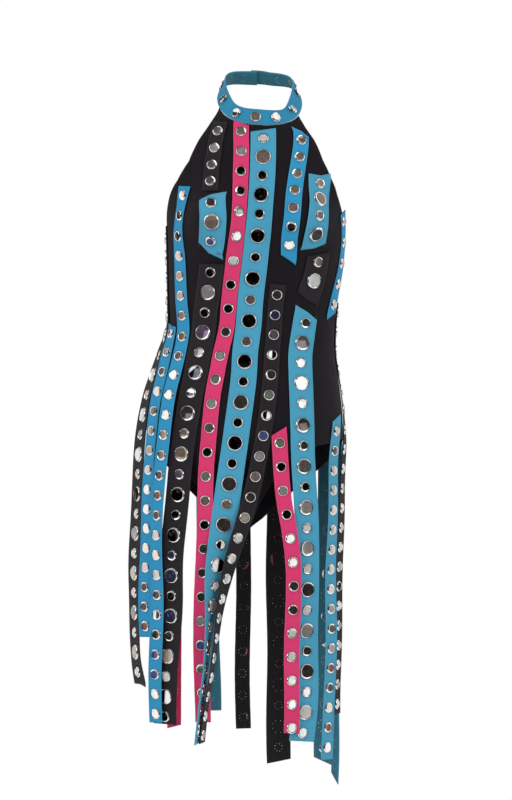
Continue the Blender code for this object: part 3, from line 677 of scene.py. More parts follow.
def strip_values(strip, drop):
    """Angle, lift and twist of a strip, each a smooth curve through its path."""
    path = np.array(strip.path, float)
    angle, lift, twist = (smooth_curve(drop, path[:, 0], path[:, i]) for i in (1, 2, 3))
    hanging = ease((drop - SWAY_FROM) / SWAY_LENGTH)
    phase = 2.4 * STRIPS.index(strip)
    lift = lift + SWAY_OUT * hanging * np.sin(drop / 31 + phase)
    angle = angle + 0.5 * SWAY_ACROSS * hanging * np.sin(drop / 43 + 1.7 * phase)
    return angle, lift, twist + SWAY_TURN * hanging * np.sin(drop / 57 + 0.6 * phase)


def strip_centre(strip, drop):
    """Point of the form at the strip's angle, moved out along the form's normal."""
    angle, lift, _ = strip_values(strip, drop)
    normal = form_normal(angle, drop)
    raised = (lift + LEOTARD_WALL + STRIP_GAP)[..., None]
    return form_point(angle, drop) + normal * raised, normal


def strip_surface(strip, drop, across):
    """Inner face: on the leotard it is laid on the form, and below the hips it hangs flat."""
    centre, normal = strip_centre(strip, drop)
    down = unit(strip_centre(strip, drop + 2)[0] - strip_centre(strip, drop - 2)[0])
    twist = strip_values(strip, drop)[2]
    normal = unit(normal - down * np.sum(normal * down, axis=-1, keepdims=True))
    turn = np.radians(twist)[..., None]
    outward = normal * np.cos(turn) + np.cross(normal, down) * np.sin(turn)
    sideways = np.cross(outward, down)
    flat = centre + sideways * across[..., None]
    follow = ((1 - ease((drop - FLAT_FROM) / FLAT_LENGTH)) * (1 - ease(np.abs(twist) / 20)))[..., None]
    below = form_point(form_angle(centre), -centre[..., 2])
    raised = np.linalg.norm(centre - below, axis=-1, keepdims=True)
    angle = form_angle(flat)
    laid_normal = form_normal(angle, -flat[..., 2])
    laid = form_point(angle, -flat[..., 2]) + laid_normal * raised
    return flat + (laid - flat) * follow, unit(outward + (laid_normal - outward) * follow)


print("strip centre at the hip:", strip_centre(STRIPS[4], np.array(450.0))[0].round(1))

# %% [markdown]
# The profile of the cloth goes once round: the right side, an edge, the wrong side and
# the other edge. Each point has a share of the width and a share of the thickness.

# %% Profile and relief of the cloth
SMALL_MIRROR = 8.4
LARGE_MIRROR = 12.0
HEM_WIDTH = 3.2
HEM_RISE = 0.22
DRAWN_IN = 0.35
DRAWN_REACH = 2.2
SCALLOP = 0.45
SCALLOP_REACH = 7.0
# Reach of the painted shade ring outside a mirror's rim.
RIM_SHADE_REACH = 1.1
RUB_WIDTH = 1.2
ROW_STEP = 3.0
FACE = np.linspace(-0.485, 0.485, 11)
WRONG = np.linspace(0.485, -0.485, 7)
EDGE_SHARES = np.array((0.4975, 0.5, 0.4975))
PROFILE_ACROSS = np.concatenate((FACE, EDGE_SHARES, WRONG, -EDGE_SHARES))
PROFILE_LAYER = np.concatenate((np.ones(11), (0.85, 0.5, 0.15), np.zeros(7), (0.15, 0.5, 0.85)))


def mirror_places(runs, sizes):
    """Place along the strip and radius of each mirror: runs of even steps, sizes in turn."""
    places = np.concatenate([np.linspace(first, last, count) for first, last, count in runs])
    radius = {"S": SMALL_MIRROR, "L": LARGE_MIRROR}
    return places, np.array([radius[sizes[i % len(sizes)]] for i in range(len(places))])


def to_rims(along, across, mirrors):
    """Distance of each point from the rim of its nearest mirror, less than 0 inside it."""
    places, radii = mirrors
    reach = np.hypot(along[..., None] - places, across[..., None]) - radii
    return reach.min(axis=-1)


def near_rim(rim, reach):
    """Bell curve: 1 inside a rim, fading over the reach outside it."""
    return np.exp(-(np.maximum(rim, 0) / reach) ** 2)


def face_relief(across, width, rim):
    """Height above the plain cloth: a hem along each edge, and drawn in round each mirror."""
    hem = ease((np.abs(across) - (width / 2 - HEM_WIDTH)) / 1.0)
    return HEM_RISE * hem - DRAWN_IN * near_rim(rim, DRAWN_REACH)


print("points round the profile:", len(PROFILE_ACROSS))


# %% [markdown]
# With a surface and a profile, a band of cloth is one array expression. The function
# takes any surface, so the same lines make a strip and, later, the collar.

# %% A band of cloth
Band = namedtuple("Band", "name cloth surface ends width wall slants mirrors seed")


def build_cloth(band):
    """Profile carried along the surface, row by row, with its two ends cut on the slant."""
    (start, end), width, mirrors = band.ends, band.width, band.mirrors
    rows = np.linspace(start, end, int((end - start) / ROW_STEP) + 2)[:, None]
    share = PROFILE_ACROSS[None, :]
    near_start = np.clip(1 - (rows - start) / SLANT_LENGTH, 0, 1)
    near_end = np.clip(1 - (end - rows) / SLANT_LENGTH, 0, 1)
    along = rows + share * (band.slants[0] * near_start + band.slants[1] * near_end)
    rim = to_rims(along, np.zeros_like(along), mirrors)
    across = share * (width - SCALLOP * (1 - near_rim(rim, SCALLOP_REACH)))
    base, outward = band.surface(along, across)
    rim = to_rims(along, across, mirrors)
    height = PROFILE_LAYER * (band.wall + face_relief(across, width, rim))
    points = base + outward * height[..., None]
    ring = len(PROFILE_ACROSS)
    faces = grid_quads(len(rows), ring, closed=True).tolist()
    faces.append(list(range(ring)))
    faces.append(list(range(len(rows) * ring - 1, (len(rows) - 1) * ring - 1, -1)))
    marks = {
        # Painted shade: 1 on the wrong side, where the darker colour goes.
        "reverse": np.broadcast_to(1 - np.minimum(PROFILE_LAYER * 1.2, 1), along.shape).ravel(),
        "edge": ease((np.abs(across) - width / 2 + RUB_WIDTH) / RUB_WIDTH).ravel(),
        # Painted shade: 1 on the face next to a mirror's rim.
        "rim": (near_rim(rim, RIM_SHADE_REACH) * PROFILE_LAYER).ravel(),
    }
    flat = np.stack((across, along), axis=-1).reshape(-1, 2)
    piece = make_piece(f"{band.name}_cloth", points.reshape(-1, 3), faces, (CLOTH[band.cloth],),
                       flat, marks)
    middle = points[:, len(FACE) // 2]
    length = np.linalg.norm(np.diff(middle, axis=0), axis=-1).sum()
    return piece, length


# %% [markdown]
# Each disc's reflection is painted into it: dark, grey, brown, blue and white discs take
# turns down each strip. Random looks would miss the pattern in the photo, so the painted
# reflection of each disc is given as one letter.

# %% Painted reflection of each mirror
Glass = namedtuple("Glass", "tint fog split", defaults=((0.0, 0.0),))
# The letters run from k, a painted dark reflection, to w, a painted white reflection. Between
# them d, q and g are greyer, v, u and p bluer, o, n, r and a browner, and e, h and c pale.
# The capitals are painted on one side of a line alone.
PAINTED_REFLECTIONS = {
    "k": Glass((0.045, 0.045, 0.045), 0.0), "d": Glass((0.085, 0.075, 0.07), 0.26),
    "v": Glass((0.045, 0.05, 0.12), 0.40), "q": Glass((0.125, 0.112, 0.118), 0.52),
    "g": Glass((0.29, 0.28, 0.27), 0.64), "o": Glass((0.17, 0.19, 0.15), 0.60),
    "n": Glass((0.22, 0.165, 0.14), 0.52), "r": Glass((0.15, 0.075, 0.055), 0.50),
    "a": Glass((0.42, 0.34, 0.28), 0.66), "u": Glass((0.07, 0.10, 0.29), 0.52),
    "p": Glass((0.15, 0.105, 0.16), 0.48), "e": Glass((0.66, 0.58, 0.56), 0.76),
    "h": Glass((0.60, 0.60, 0.58), 0.78), "c": Glass((0.82, 0.77, 0.68), 0.84),
    "w": Glass((0.97, 0.97, 0.96), 0.92), "T": Glass((0.94, 0.94, 0.93), 0.88, (-1, 0)),
    "L": Glass((0.94, 0.94, 0.93), 0.88, (0, -1)), "R": Glass((0.94, 0.94, 0.93), 0.88, (0, 1)),
    "D": Glass((0.92, 0.92, 0.92), 0.88, (-0.7, -0.7)),
}
DISCS = {
    "collar": "gkndRnwcdgk",
    "black_strip_chest": "qgqq",
    "turquoise_patch_chest": "dnv",
    "black_strip_waist": "kgkpgDTdnnpkkkvvkvdacRk",
    "pink_strip_front": "ogkkgwhkkdgogqkonkdddguog",
    "turquoise_strip_centre": "hnkkkkkkqkqkkdkkkdndRLwhchwhch",
    "black_strip_centre": "dvqLdoRugndahhhwhwhwhwh",
    "turquoise_strip_bust": "nnonnkw",
    "turquoise_patch_bust": "nnqk",
    "black_patch_ribs": "oh",
    "turquoise_strip_hip": "dqwwwddqkghghdhgddwhw",
    "turquoise_strip_side": "cwcwc",
    "turquoise_strip_thigh": "cneeehehhgdgrdcrw",
    "pink_strip_thigh": "okgkwwddhhwww",
    "turquoise_strip_left": "wddeaanrdwwwgndrdhchdLduuww",
    "turquoise_strip_left_hip": "Rddcnaaewwwceddr",
    "black_strip_left_side": "whwcwhdwcwhwcdwhwcwhwcw",
    "black_strip_right_side": "whcwhdwcwhwcwhdwhcwhw",
    "back_turquoise_left": "cdkwngdkhkdnkoRkdckg",
    "back_pink": "dkgkndkwkdukhkdkgTkdn",
    "back_turquoise_wide": "kdnkgdkwwkduknkdhkgkd",
    "back_black_narrow": "ngkdkukdkhkgdkLkndkc",
    "back_black_wide": "kdgkndkpkkwTkdnkgkudkkh",
    "back_black_side": "dkhgkdnkkdwkukdgkndkc",
    "back_turquoise_hip": "nkdgkkwhdkukndkkdgRkdok",
    "back_turquoise_side": "chwdekwceghdwecnkhewd",
}
print("mirrors:", sum(len(letters) for letters in DISCS.values()))

# %% [markdown]
# A mirror is turned, like a lid: a profile of four rings is spun about its axis. The rim
# rises from the cloth, rolls over and dips to the glass, and the glass is domed by a
# twentieth of a millimetre, as pressed discs are, so that a reflection creeps across it.
# One small profile is placed hundreds of times, so it has only a few dozen faces.

# %% Turned discs
MIRROR_TURNS = 14
GLASS_HEIGHT = 1.50
GLASS_DOME = 0.05
# Each ring of the rim: how far in from the outer edge it stands, and how high.
RIM_PROFILE = np.array(((0, -0.6), (0.25, 0.8), (1.7, 1.75), (2.7, GLASS_HEIGHT)))


def turned_discs(centres, axes, radii):
    """Rings of points: radius times cosine and sine on two axes, plus height on the third."""
    ring_radii = radii[:, None] - RIM_PROFILE[:, 0]
    turn = 2 * np.pi * np.arange(MIRROR_TURNS) / MIRROR_TURNS
    circle = np.stack((np.cos(turn), np.sin(turn)), axis=-1)
    flat = ring_radii[:, :, None, None] * circle
    tall = np.broadcast_to(RIM_PROFILE[:, 1, None, None], (*flat.shape[:3], 1))
    local = np.concatenate((flat, tall), axis=-1).reshape(len(radii), -1, 3)
    peak = np.broadcast_to((0, 0, GLASS_HEIGHT + GLASS_DOME), (len(radii), 1, 3))
    local = np.concatenate((local, peak), axis=1)
    return centres[:, None, :] + local @ axes


def disc_faces(count):
    """Bands between rings, a fan of glass to the middle, and a closed back, for each disc."""
    bands = grid_quads(len(RIM_PROFILE), MIRROR_TURNS, closed=True)[:, ::-1]
    peak = len(RIM_PROFILE) * MIRROR_TURNS
    step = np.arange(MIRROR_TURNS)
    last = peak - MIRROR_TURNS
    fan = np.stack((last + step, last + (step + 1) % MIRROR_TURNS, np.full(MIRROR_TURNS, peak)), axis=1)
    size = peak + 1
    faces, second = [], []
    for start in range(0, count * size, size):
        faces += (bands + start).tolist() + (fan + start).tolist()
        faces.append([start + i for i in reversed(range(MIRROR_TURNS))])
        second += [0] * len(bands) + [1] * len(fan) + [0]
    return faces, second


print("faces of a mirror:", len(disc_faces(1)[0]))

# %% [markdown]
# Small things that repeat along a band, such as prongs and stitches, are spindles with
# eight faces each. To place one, the band has to say which way it runs there.

# %% Spindles and the axes of a band
GRAIN_POINTS = np.array(((-1, 0, 0), (0, -1, 0), (0, 0, 1), (0, 1, 0), (0, 0, -1), (1, 0, 0))) / 2
GRAIN_FACES = np.array(((0, 2, 1), (0, 3, 2), (0, 4, 3), (0, 1, 4),
                        (5, 1, 2), (5, 2, 3), (5, 3, 4), (5, 4, 1)))


def grains(centres, axes, size):
    """Small spindles, each a stretched octahedron on its own three axes."""
    points = centres[:, None, :] + (GRAIN_POINTS * size) @ axes
    faces = GRAIN_FACES[None] + 6 * np.arange(len(centres))[:, None, None]
    return points.reshape(-1, 3), faces.reshape(-1, 3)


def band_axes(surface, along, across):
    """Three axes on a band at its own places: along it, across it and out of it."""
    base, outward = surface(along, across)
    ahead = unit(surface(along + 1.0, across)[0] - surface(along - 1.0, across)[0])
    outward = unit(outward)
    sideways = unit(np.cross(outward, ahead))
    return base, np.stack((np.cross(sideways, outward), sideways, outward), axis=-2)


print("faces of a spindle:", len(GRAIN_FACES))

# %% [markdown]
# Behind the cloth the rim's prongs are bent flat, and their tips show on the wrong side.
# Mirrors that are pressed on by hand never sit quite level, so each one is tilted by a
# random degree or two, and no two neighbours show the same part of the room.

# %% Mirrors of a band
PRONGS = 8
PRONG_SIZE = (2.2, 1.0, 0.45)
PRONG_INSET = 2.4
PRONG_SUNK = 0.12
MIRROR_TILT = 2.2
MIRROR_SEAT = 0.15


def glass_marks(looks, disc_points, radii, ring):
    """Painted reflection colour, matt share and the side of its line, at every point of every disc."""
    tint = np.repeat([PAINTED_REFLECTIONS[look].tint for look in looks], ring, axis=0)
    fog = np.repeat([PAINTED_REFLECTIONS[look].fog for look in looks], ring)
    split = np.array([PAINTED_REFLECTIONS[look].split for look in looks], float)
    whole = 1.0 - np.abs(split).sum(axis=1)
    side = np.einsum("dpk,dk->dp", disc_points, split) / radii[:, None] + whole[:, None]
    return {"tint": tint, "fog": fog, "side": side.ravel()}


def build_mirrors(band):
    """All the mirrors of one band, each tilted a little, with their prongs behind."""
    places, radii = band.mirrors
    looks = DISCS[band.name]
    assert len(looks) == len(places), (band.name, len(looks), len(places))
    dice = np.random.default_rng(band.seed)
    base, axes = band_axes(band.surface, places, np.zeros_like(places))
    tilt = np.clip(dice.normal(0, MIRROR_TILT, (len(places), 2)), -2.5 * MIRROR_TILT, 2.5 * MIRROR_TILT)
    lean = np.radians(tilt)[:, :, None]
    outward = unit(axes[:, 2] + axes[:, 0] * lean[:, 0] + axes[:, 1] * lean[:, 1])
    ahead = unit(axes[:, 0] - outward * np.sum(axes[:, 0] * outward, axis=1, keepdims=True))
    tilted = np.stack((ahead, np.cross(outward, ahead), outward), axis=-2)
    centres = base + axes[:, 2] * (band.wall - DRAWN_IN + MIRROR_SEAT)
    discs = turned_discs(centres, tilted, radii)
    local = (discs - centres[:, None, :]) @ tilted.transpose(0, 2, 1)
    marks = glass_marks(looks, local[:, :, :2], radii, discs.shape[1])
    # Each disc's painted reflection colour is dimmed at random.
    marks["tint"] = marks["tint"] * np.repeat(dice.uniform(0.85, 1.0, len(places)), discs.shape[1])[:, None]
    faces, second = disc_faces(len(places))
    turn = 2 * np.pi * (np.arange(PRONGS) + 0.5) / PRONGS
    ways = np.cos(turn)[:, None] * axes[:, None, 0] + np.sin(turn)[:, None] * axes[:, None, 1]
    roots = base[:, None] - axes[:, None, 2] * PRONG_SUNK + ways * (radii[:, None, None] - PRONG_INSET)
    outs = np.broadcast_to(axes[:, None, 2], ways.shape)
    frames = np.stack((ways, np.cross(outs, ways), outs), axis=-2)
    tips, tip_faces = grains(roots.reshape(-1, 3), frames.reshape(-1, 3, 3), PRONG_SIZE)
    points = np.concatenate((discs.reshape(-1, 3), tips))
    faces += (tip_faces + discs.size // 3).tolist()
    second += [0] * len(tip_faces)
    marks = {label: np.concatenate((values, np.ones((len(tips), *values.shape[1:]))))
             for label, values in marks.items()}
    piece = make_piece(f"{band.name}_mirrors", points, faces, (RIM, GLASS), None, marks, np.array(second))
    piece.data.set_sharp_from_angle(angle=math.radians(48))
    return piece


# %% [markdown]
# Each strip is sewn along its two hems. A stitch is a short spindle of thread that dips
# into the cloth at both ends, so a row of them reads as running stitch in any light.

# %% Stitches of a band
STITCH_STEP = 3.4
STITCH_SIZE = (2.5, 0.55, 0.5)
STITCH_INSET = 2.4
STITCH_CLEARANCE = 0.4


def build_stitches(band):
    """Rows of stitches at a fixed inset from both edges, left out under a mirror's rim."""
    (start, end), width, mirrors = band.ends, band.width, band.mirrors
    along = np.arange(start + 4.0, end - 3.0, STITCH_STEP)
    along = np.concatenate((along, along))
    across = np.repeat((STITCH_INSET - width / 2, width / 2 - STITCH_INSET), len(along) // 2)
    clear = to_rims(along, across, mirrors) > STITCH_CLEARANCE
    along, across = along[clear], across[clear]
    base, axes = band_axes(band.surface, along, across)
    height = band.wall + face_relief(across, width, to_rims(along, across, mirrors)) + 0.02
    points, faces = grains(base + axes[:, 2] * height[:, None], axes, STITCH_SIZE)
    return make_piece(f"{band.name}_stitches", points, faces.tolist(), (THREAD[band.cloth],))


# %% [markdown]
# Now the strips. Each solid of the frame is hidden and its cloth stands for it.

# %% Build the strips
AZURE_STRIPS = ("turquoise_strip_left", "turquoise_strip_left_hip", "turquoise_strip_bust",
                "turquoise_strip_side", "back_turquoise_left", "back_turquoise_side")


def dress_band(band):
    """Cloth, mirrors and stitches of one band, in place of its solid in the frame."""
    sheet, length = build_cloth(band)
    studs = build_mirrors(band)
    stitches = build_stitches(band)
    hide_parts(band.name)
    print(f"{band.name}: {length:.0f} mm long")


for number, strip in enumerate(STRIPS):
    cloth = "azure" if strip.name in AZURE_STRIPS else strip.cloth
    ends = (strip.path[0].drop, strip.path[-1].drop)
    band = Band(strip.name, cloth, partial(strip_surface, strip), ends, strip.width, STRIP_WALL,
                strip.slants, mirror_places(strip.mirrors, strip.sizes), number)
    panel = "back_panel_cloth" if strip.name.startswith("back") else "front_panel_cloth"
    dress_band(band)

# %% [markdown]
# The collar is a band cut on the cone of the neck. Its lower edge dips in front, climbs
# fast round the sides and then levels off behind the neck, where one end laps over the
# other and is held by a snap. It is a band like a strip, on its own surface.

# %% Collar
COLLAR_WALL = 1.8
COLLAR_FRONT_DROP = 44.5
COLLAR_CLIMB = 73.5
COLLAR_DEPTH = 124.0
COLLAR_BEND = 1.6
COLLAR_LEAN = 0.045
COLLAR_TOP_WIDTH = 49.5
COLLAR_TOP_DEPTH = 51.5
COLLAR_TOP_AHEAD = 7.0
COLLAR_WIDTH = 24.0
COLLAR_RADIUS = 57.5
COLLAR_START = -177.0
COLLAR_END = 193.0
COLLAR_LAP = 2.9
COLLAR_FIRST_MIRROR = -154.5
COLLAR_MIRROR_STEP = 30.0
COLLAR_MIRRORS = 11
COLLAR_SEED = 77
SNAP_ANGLE = 187.0


def collar_lower_edge(angle):
    """Where the form meets the edge's height, which climbs backwards: found by half steps."""
    front = form_radius(np.array(0.0), np.array(COLLAR_FRONT_DROP))
    height = np.zeros_like(angle)
    for _ in range(30):
        point = form_point(angle, -height)
        back = np.clip((point[..., 1] + front) / COLLAR_DEPTH, 0, 1)
        climb = COLLAR_CLIMB * (1 - (1 - back) ** COLLAR_BEND)
        edge = -COLLAR_FRONT_DROP + climb - COLLAR_LEAN * point[..., 0]
        height = height + 0.5 * (edge - height)
    return form_point(angle, -height)


def collar_surface(along, across):
    """Straight from the lower edge to an oval upper edge, and out a little in the lap."""
    angle = np.degrees(along / COLLAR_RADIUS)
    lower = collar_lower_edge(angle)
    turn = np.radians(angle)
    upper = np.stack((COLLAR_TOP_WIDTH * np.sin(turn),
                      -COLLAR_TOP_DEPTH * np.cos(turn) - COLLAR_TOP_AHEAD, 0 * turn), axis=-1)
    inset = np.hypot(upper[..., 0] - lower[..., 0], upper[..., 1] - lower[..., 1])
    upper[..., 2] = lower[..., 2] + np.sqrt(COLLAR_WIDTH ** 2 - inset ** 2)
    ahead = np.stack((np.cos(turn), np.sin(turn), 0 * turn), axis=-1)
    outward = unit(np.cross(ahead, upper - lower))
    lap = COLLAR_LAP * ease((angle - 158) / 20)
    share = across / COLLAR_WIDTH + 0.5
    return lower + (upper - lower) * share[..., None] + outward * lap[..., None], outward


def along_collar(angle):
    """Length round the collar from the front to an angle."""
    return math.radians(angle) * COLLAR_RADIUS


collar_step = along_collar(COLLAR_MIRROR_STEP)
collar_mirrors = (along_collar(COLLAR_FIRST_MIRROR) + collar_step * np.arange(COLLAR_MIRRORS),
                  np.full(COLLAR_MIRRORS, SMALL_MIRROR))
dress_band(Band("collar", "collar", collar_surface, (along_collar(COLLAR_START), along_collar(COLLAR_END)),
                COLLAR_WIDTH, COLLAR_WALL, (0, 0), collar_mirrors, COLLAR_SEED))

# %% [markdown]
# The snap's cap is turned too: a flat disc with a rolled edge, and a low ring pressed
# into its top.

# %% Snap
SNAP_PROFILE = np.array(((4.9, -0.2), (5.0, 0.5), (4.6, 1.2), (4.0, 1.35), (3.5, 1.1), (2.4, 1.05),
                         (1.9, 1.35), (1.0, 1.5), (0.01, 1.52)))
SNAP_TURNS = 28


def build_snap():
    """Profile of radius and height spun about the way out of the collar."""
    along = np.array([along_collar(SNAP_ANGLE)])
    base, axes = band_axes(collar_surface, along, np.array([0.0]))
    turn = 2 * np.pi * np.arange(SNAP_TURNS) / SNAP_TURNS
    local = np.stack((SNAP_PROFILE[:, :1] * np.cos(turn), SNAP_PROFILE[:, :1] * np.sin(turn),
                      np.broadcast_to(SNAP_PROFILE[:, 1:], (len(SNAP_PROFILE), SNAP_TURNS))), axis=-1)
    points = base + local.reshape(-1, 3) @ axes[0] + axes[0, 2] * (COLLAR_WALL + 0.3)
    faces = grid_quads(len(SNAP_PROFILE), SNAP_TURNS, closed=True)[:, ::-1].tolist()
    faces.append(list(range(SNAP_TURNS))[::-1])
    faces.append([(len(SNAP_PROFILE) - 1) * SNAP_TURNS + i for i in range(SNAP_TURNS)])
    snap = make_piece("collar_snap_cap", points, faces, (SNAP_METAL,))
    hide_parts("collar_snap")
    return snap


snap = build_snap()
print("snap faces:", len(snap.data.polygons))

# %% [markdown]
# The leotard is cut in a front and a back, joined down the sides and between the legs.
# Stretch cloth on a form is smooth, but it pulls: from the armholes towards the bust, in
# at the waist, and fanning out of the crotch. Each pull is a crease, a soft trough between
# two points, and no two are alike.

# %% Creases
Crease = namedtuple("Crease", "angle drop to_angle to_drop width depth")
FRONT_CREASES = [Crease(*row) for row in (
    (-60, 108, -40, 150, 6, 0.9), (-66, 138, -48, 176, 5, 0.7), (58, 104, 44, 128, 5, 0.8),
    (64, 138, 55, 171, 6, 1.0), (70, 168, 62, 215, 5, 0.8), (-20, 226, -34, 246, 6, 0.9),
    (18, 222, 36, 251, 6, 1.1), (62, 226, 44, 262, 7, 0.9), (-72, 322, -52, 334, 6, 1.1),
    (66, 318, 84, 347, 6, 1.2), (36, 336, 62, 352, 7, 1.0), (70, 372, 88, 361, 5, 0.9),
    (60, 398, 84, 420, 7, 0.8), (-80, 360, -66, 349, 5, 0.8), (12, 352, 34, 344, 5, 0.7),
    (-12, 618, -34, 548, 7, 1.2), (8, 612, 26, 540, 7, 1.3), (-3, 600, 2, 520, 8, 0.9),
    (20, 580, 44, 524, 6, 1.0), (-38, 556, -60, 500, 6, 0.9), (58, 505, 82, 470, 6, 1.0),
)]
BACK_CREASES = [Crease(*row) for row in (
    (108, 262, 128, 296, 7, 1.0), (118, 332, 146, 344, 8, 1.3), (152, 352, 178, 346, 7, 1.1),
    (186, 338, 214, 352, 8, 1.3), (226, 330, 246, 320, 6, 1.0), (96, 356, 118, 372, 6, 0.9),
    (244, 268, 262, 300, 6, 0.8), (166, 596, 146, 546, 8, 1.3), (194, 590, 216, 536, 8, 1.4),
    (179, 604, 184, 500, 9, 1.1), (126, 530, 108, 500, 7, 1.0), (232, 528, 254, 488, 7, 1.1),
)]
MM_A_DEGREE = 1.9


CREASE_FADE = 0.35
CREASE_FREE_EDGE = 12.0


def crease_depth(angle, drop, creases):
    """Sum of troughs: a bell curve of the distance from a line, faded towards its ends."""
    total = np.zeros_like(angle)
    for crease in creases:
        x, y = (angle - crease.angle) * MM_A_DEGREE, drop - crease.drop
        run = np.array(((crease.to_angle - crease.angle) * MM_A_DEGREE, crease.to_drop - crease.drop))
        share = np.clip((x * run[0] + y * run[1]) / (run @ run), 0, 1)
        apart = np.hypot(x - share * run[0], y - share * run[1])
        fade = CREASE_FADE + (1 - CREASE_FADE) * np.sin(np.pi * np.clip(share, 0.02, 0.98))
        total += crease.depth * fade * np.exp(-(apart / crease.width) ** 2)
    return total


print("creases:", len(FRONT_CREASES) + len(BACK_CREASES))

# %% [markdown]
# Each panel is a grid between its outlines. The front runs from the collar, past the
# armholes and down the side seams to the leg line. The back starts lower, from a scooped
# edge under the arms. Between the legs both narrow to the same short seam, so their
# depth shrinks there as a quarter of an ellipse does. A turned hem runs round each edge.

# %% Outlines of the leotard
SEAM_GAP = 0.4
# Drop and angle of points down the front edge of each armhole.
LEFT_ARMHOLE = np.array((
    (10, 60.0), (38, 59.4), (76, 58.4), (98, 58.8),
    (126, 64.8), (150, 74.2), (168, 82.0), (186, 90.0),
))
RIGHT_ARMHOLE = np.array((
    (20, 52.8), (66, 56.2), (96, 57.2), (125, 61.6),
    (147, 67.0), (172, 76.5), (190, 84.0), (204, 90.0),
))
# Angle and drop of points along each leg line and the seam between the legs.
FRONT_LEG_LINE = np.array((
    (-90, 489), (-75, 500), (-60, 515), (-48, 538),
    (-37, 567), (-25, 596), (-14, 621), (-7.2, 645.5),
    (-1.4, 645.5), (4.4, 645.5), (10, 621), (15.5, 596),
    (24, 567), (39, 538), (54, 517), (72, 510), (90, 507),
))
BACK_LEG_LINE = np.array((
    (90, 507), (105, 523), (120, 546), (135, 574),
    (150, 602), (165, 630), (176, 645.5), (181, 645.5),
    (186.6, 645.5), (197, 630), (212, 602), (226, 571),
    (240, 540), (255, 510), (270, 489),
))
CROTCH_DROP = 645.5
FRONT_TUCK_DROP = 500
BACK_TUCK_DROP = 540
BACK_SCOOP = 78


def tuck(drop, start):
    """Share of the depth left: the root of 1 less the square of the way to the crotch."""
    share = np.clip((drop - start) / (CROTCH_DROP - start), 0, 1)
    return np.sqrt(1 - share ** 2)


def side_angle(side, drop):
    """Angle of the front's side edge on the left or the right, at a drop."""
    left = np.interp(drop, LEFT_ARMHOLE[:, 0], LEFT_ARMHOLE[:, 1])
    right = np.interp(drop, RIGHT_ARMHOLE[:, 0], RIGHT_ARMHOLE[:, 1])
    return np.where(side < 0, left, right)


def leg_drop(angle, line):
    """Leg line between its points, straight where the crotch seam is."""
    return np.minimum(np.interp(angle, line[:, 0], line[:, 1]), CROTCH_DROP)


print("seam between the legs:", CROTCH_DROP, "mm down")

# %% [markdown]
# A turned hem runs round each edge, so every point of the grid has to know how far off
# the nearest edge is. Stretch cloth on a form has no simple flat pattern, so the size of
# the cut is measured: its widest level line, its longest line down, and its area.

# %% A panel on its grid
PANEL_HEM = 7.0
PANEL_HEM_RISE = 0.25
PANEL_WALL_SHARE = 0.7
GIRTH_DROPS = np.arange(160, 441, 10.0)


def edge_distance(points):
    """For each point of a grid, the way to the nearest of the grid's four edges."""
    across = np.linalg.norm(np.diff(points, axis=1), axis=-1)
    down = np.linalg.norm(np.diff(points, axis=0), axis=-1)
    left = np.pad(np.cumsum(across, axis=1), ((0, 0), (1, 0)))
    top = np.pad(np.cumsum(down, axis=0), ((1, 0), (0, 0)))
    return np.minimum(np.minimum(left, left[:, -1:] - left), np.minimum(top, top[-1:] - top))


def cut_size(points, angle):
    """Widest level line above the legs, longest line down the grid, and the area."""
    girths = form_point(*np.broadcast_arrays(angle[-1], GIRTH_DROPS[:, None]))
    width = np.linalg.norm(np.diff(girths, axis=1), axis=-1).sum(axis=1).max()
    length = np.linalg.norm(np.diff(points, axis=0), axis=-1).sum(axis=0).max()
    corners = np.cross(points[1:, 1:] - points[:-1, :-1], points[1:, :-1] - points[:-1, 1:])
    return width, length, np.linalg.norm(corners, axis=-1).sum() / 2


def build_panel(name, angle, drop, shrink, creases, limit):
    """Grid on the form, drawn in between the legs, with hems out and creases in."""
    points = form_point(angle, drop)
    points[..., 1] = limit(points[..., 1] * shrink)
    edge = edge_distance(points)
    hem = PANEL_HEM_RISE * (1 - ease((edge - PANEL_HEM) / 1.5))
    sunk = crease_depth(angle, drop, creases) * ease(edge / CREASE_FREE_EDGE)
    across = np.gradient(points, axis=1)
    down = np.gradient(points, axis=0)
    normal = np.cross(down, across)
    normal /= np.maximum(np.linalg.norm(normal, axis=-1, keepdims=True), 1e-9)
    points = points + normal * (hem - sunk)[..., None] * ease(shrink * 4)[..., None]
    flat = np.stack((angle * MM_A_DEGREE, drop), axis=-1).reshape(-1, 2)
    # Painted shade: the rim mark darkens a thin line along the inner edge of the hem, where the hem steps
    # down.
    marks = {"reverse": np.zeros(angle.size), "edge": (1 - ease(edge / 2.0)).ravel(),
             "rim": np.exp(-((edge - PANEL_HEM) / 0.8) ** 2).ravel()}
    panel = make_piece(name, points.reshape(-1, 3), grid_quads(*angle.shape).tolist(),
                       (CLOTH["leotard"],), flat, marks)
    wall = panel.modifiers.new("wall", "SOLIDIFY")
    wall.thickness = LEOTARD_WALL * MM * PANEL_WALL_SHARE
    wall.offset = 1.0
    wall.use_even_offset = True
    width, length, area = cut_size(points, angle)
    print(f"{name}: {width:.0f} by {length:.0f} mm, {area:.0f} square mm")
    return panel, (width * MM, length * MM), area * MM * MM


# %% [markdown]
# The top of the front is where the collar's lower edge crosses the form. Its corners also
# depend on the armholes, so it is found by a few repeated steps. The back is plainer.

# %% Build the panels
COLUMNS = 141
FRONT_ROWS = 191
BACK_ROWS = 131


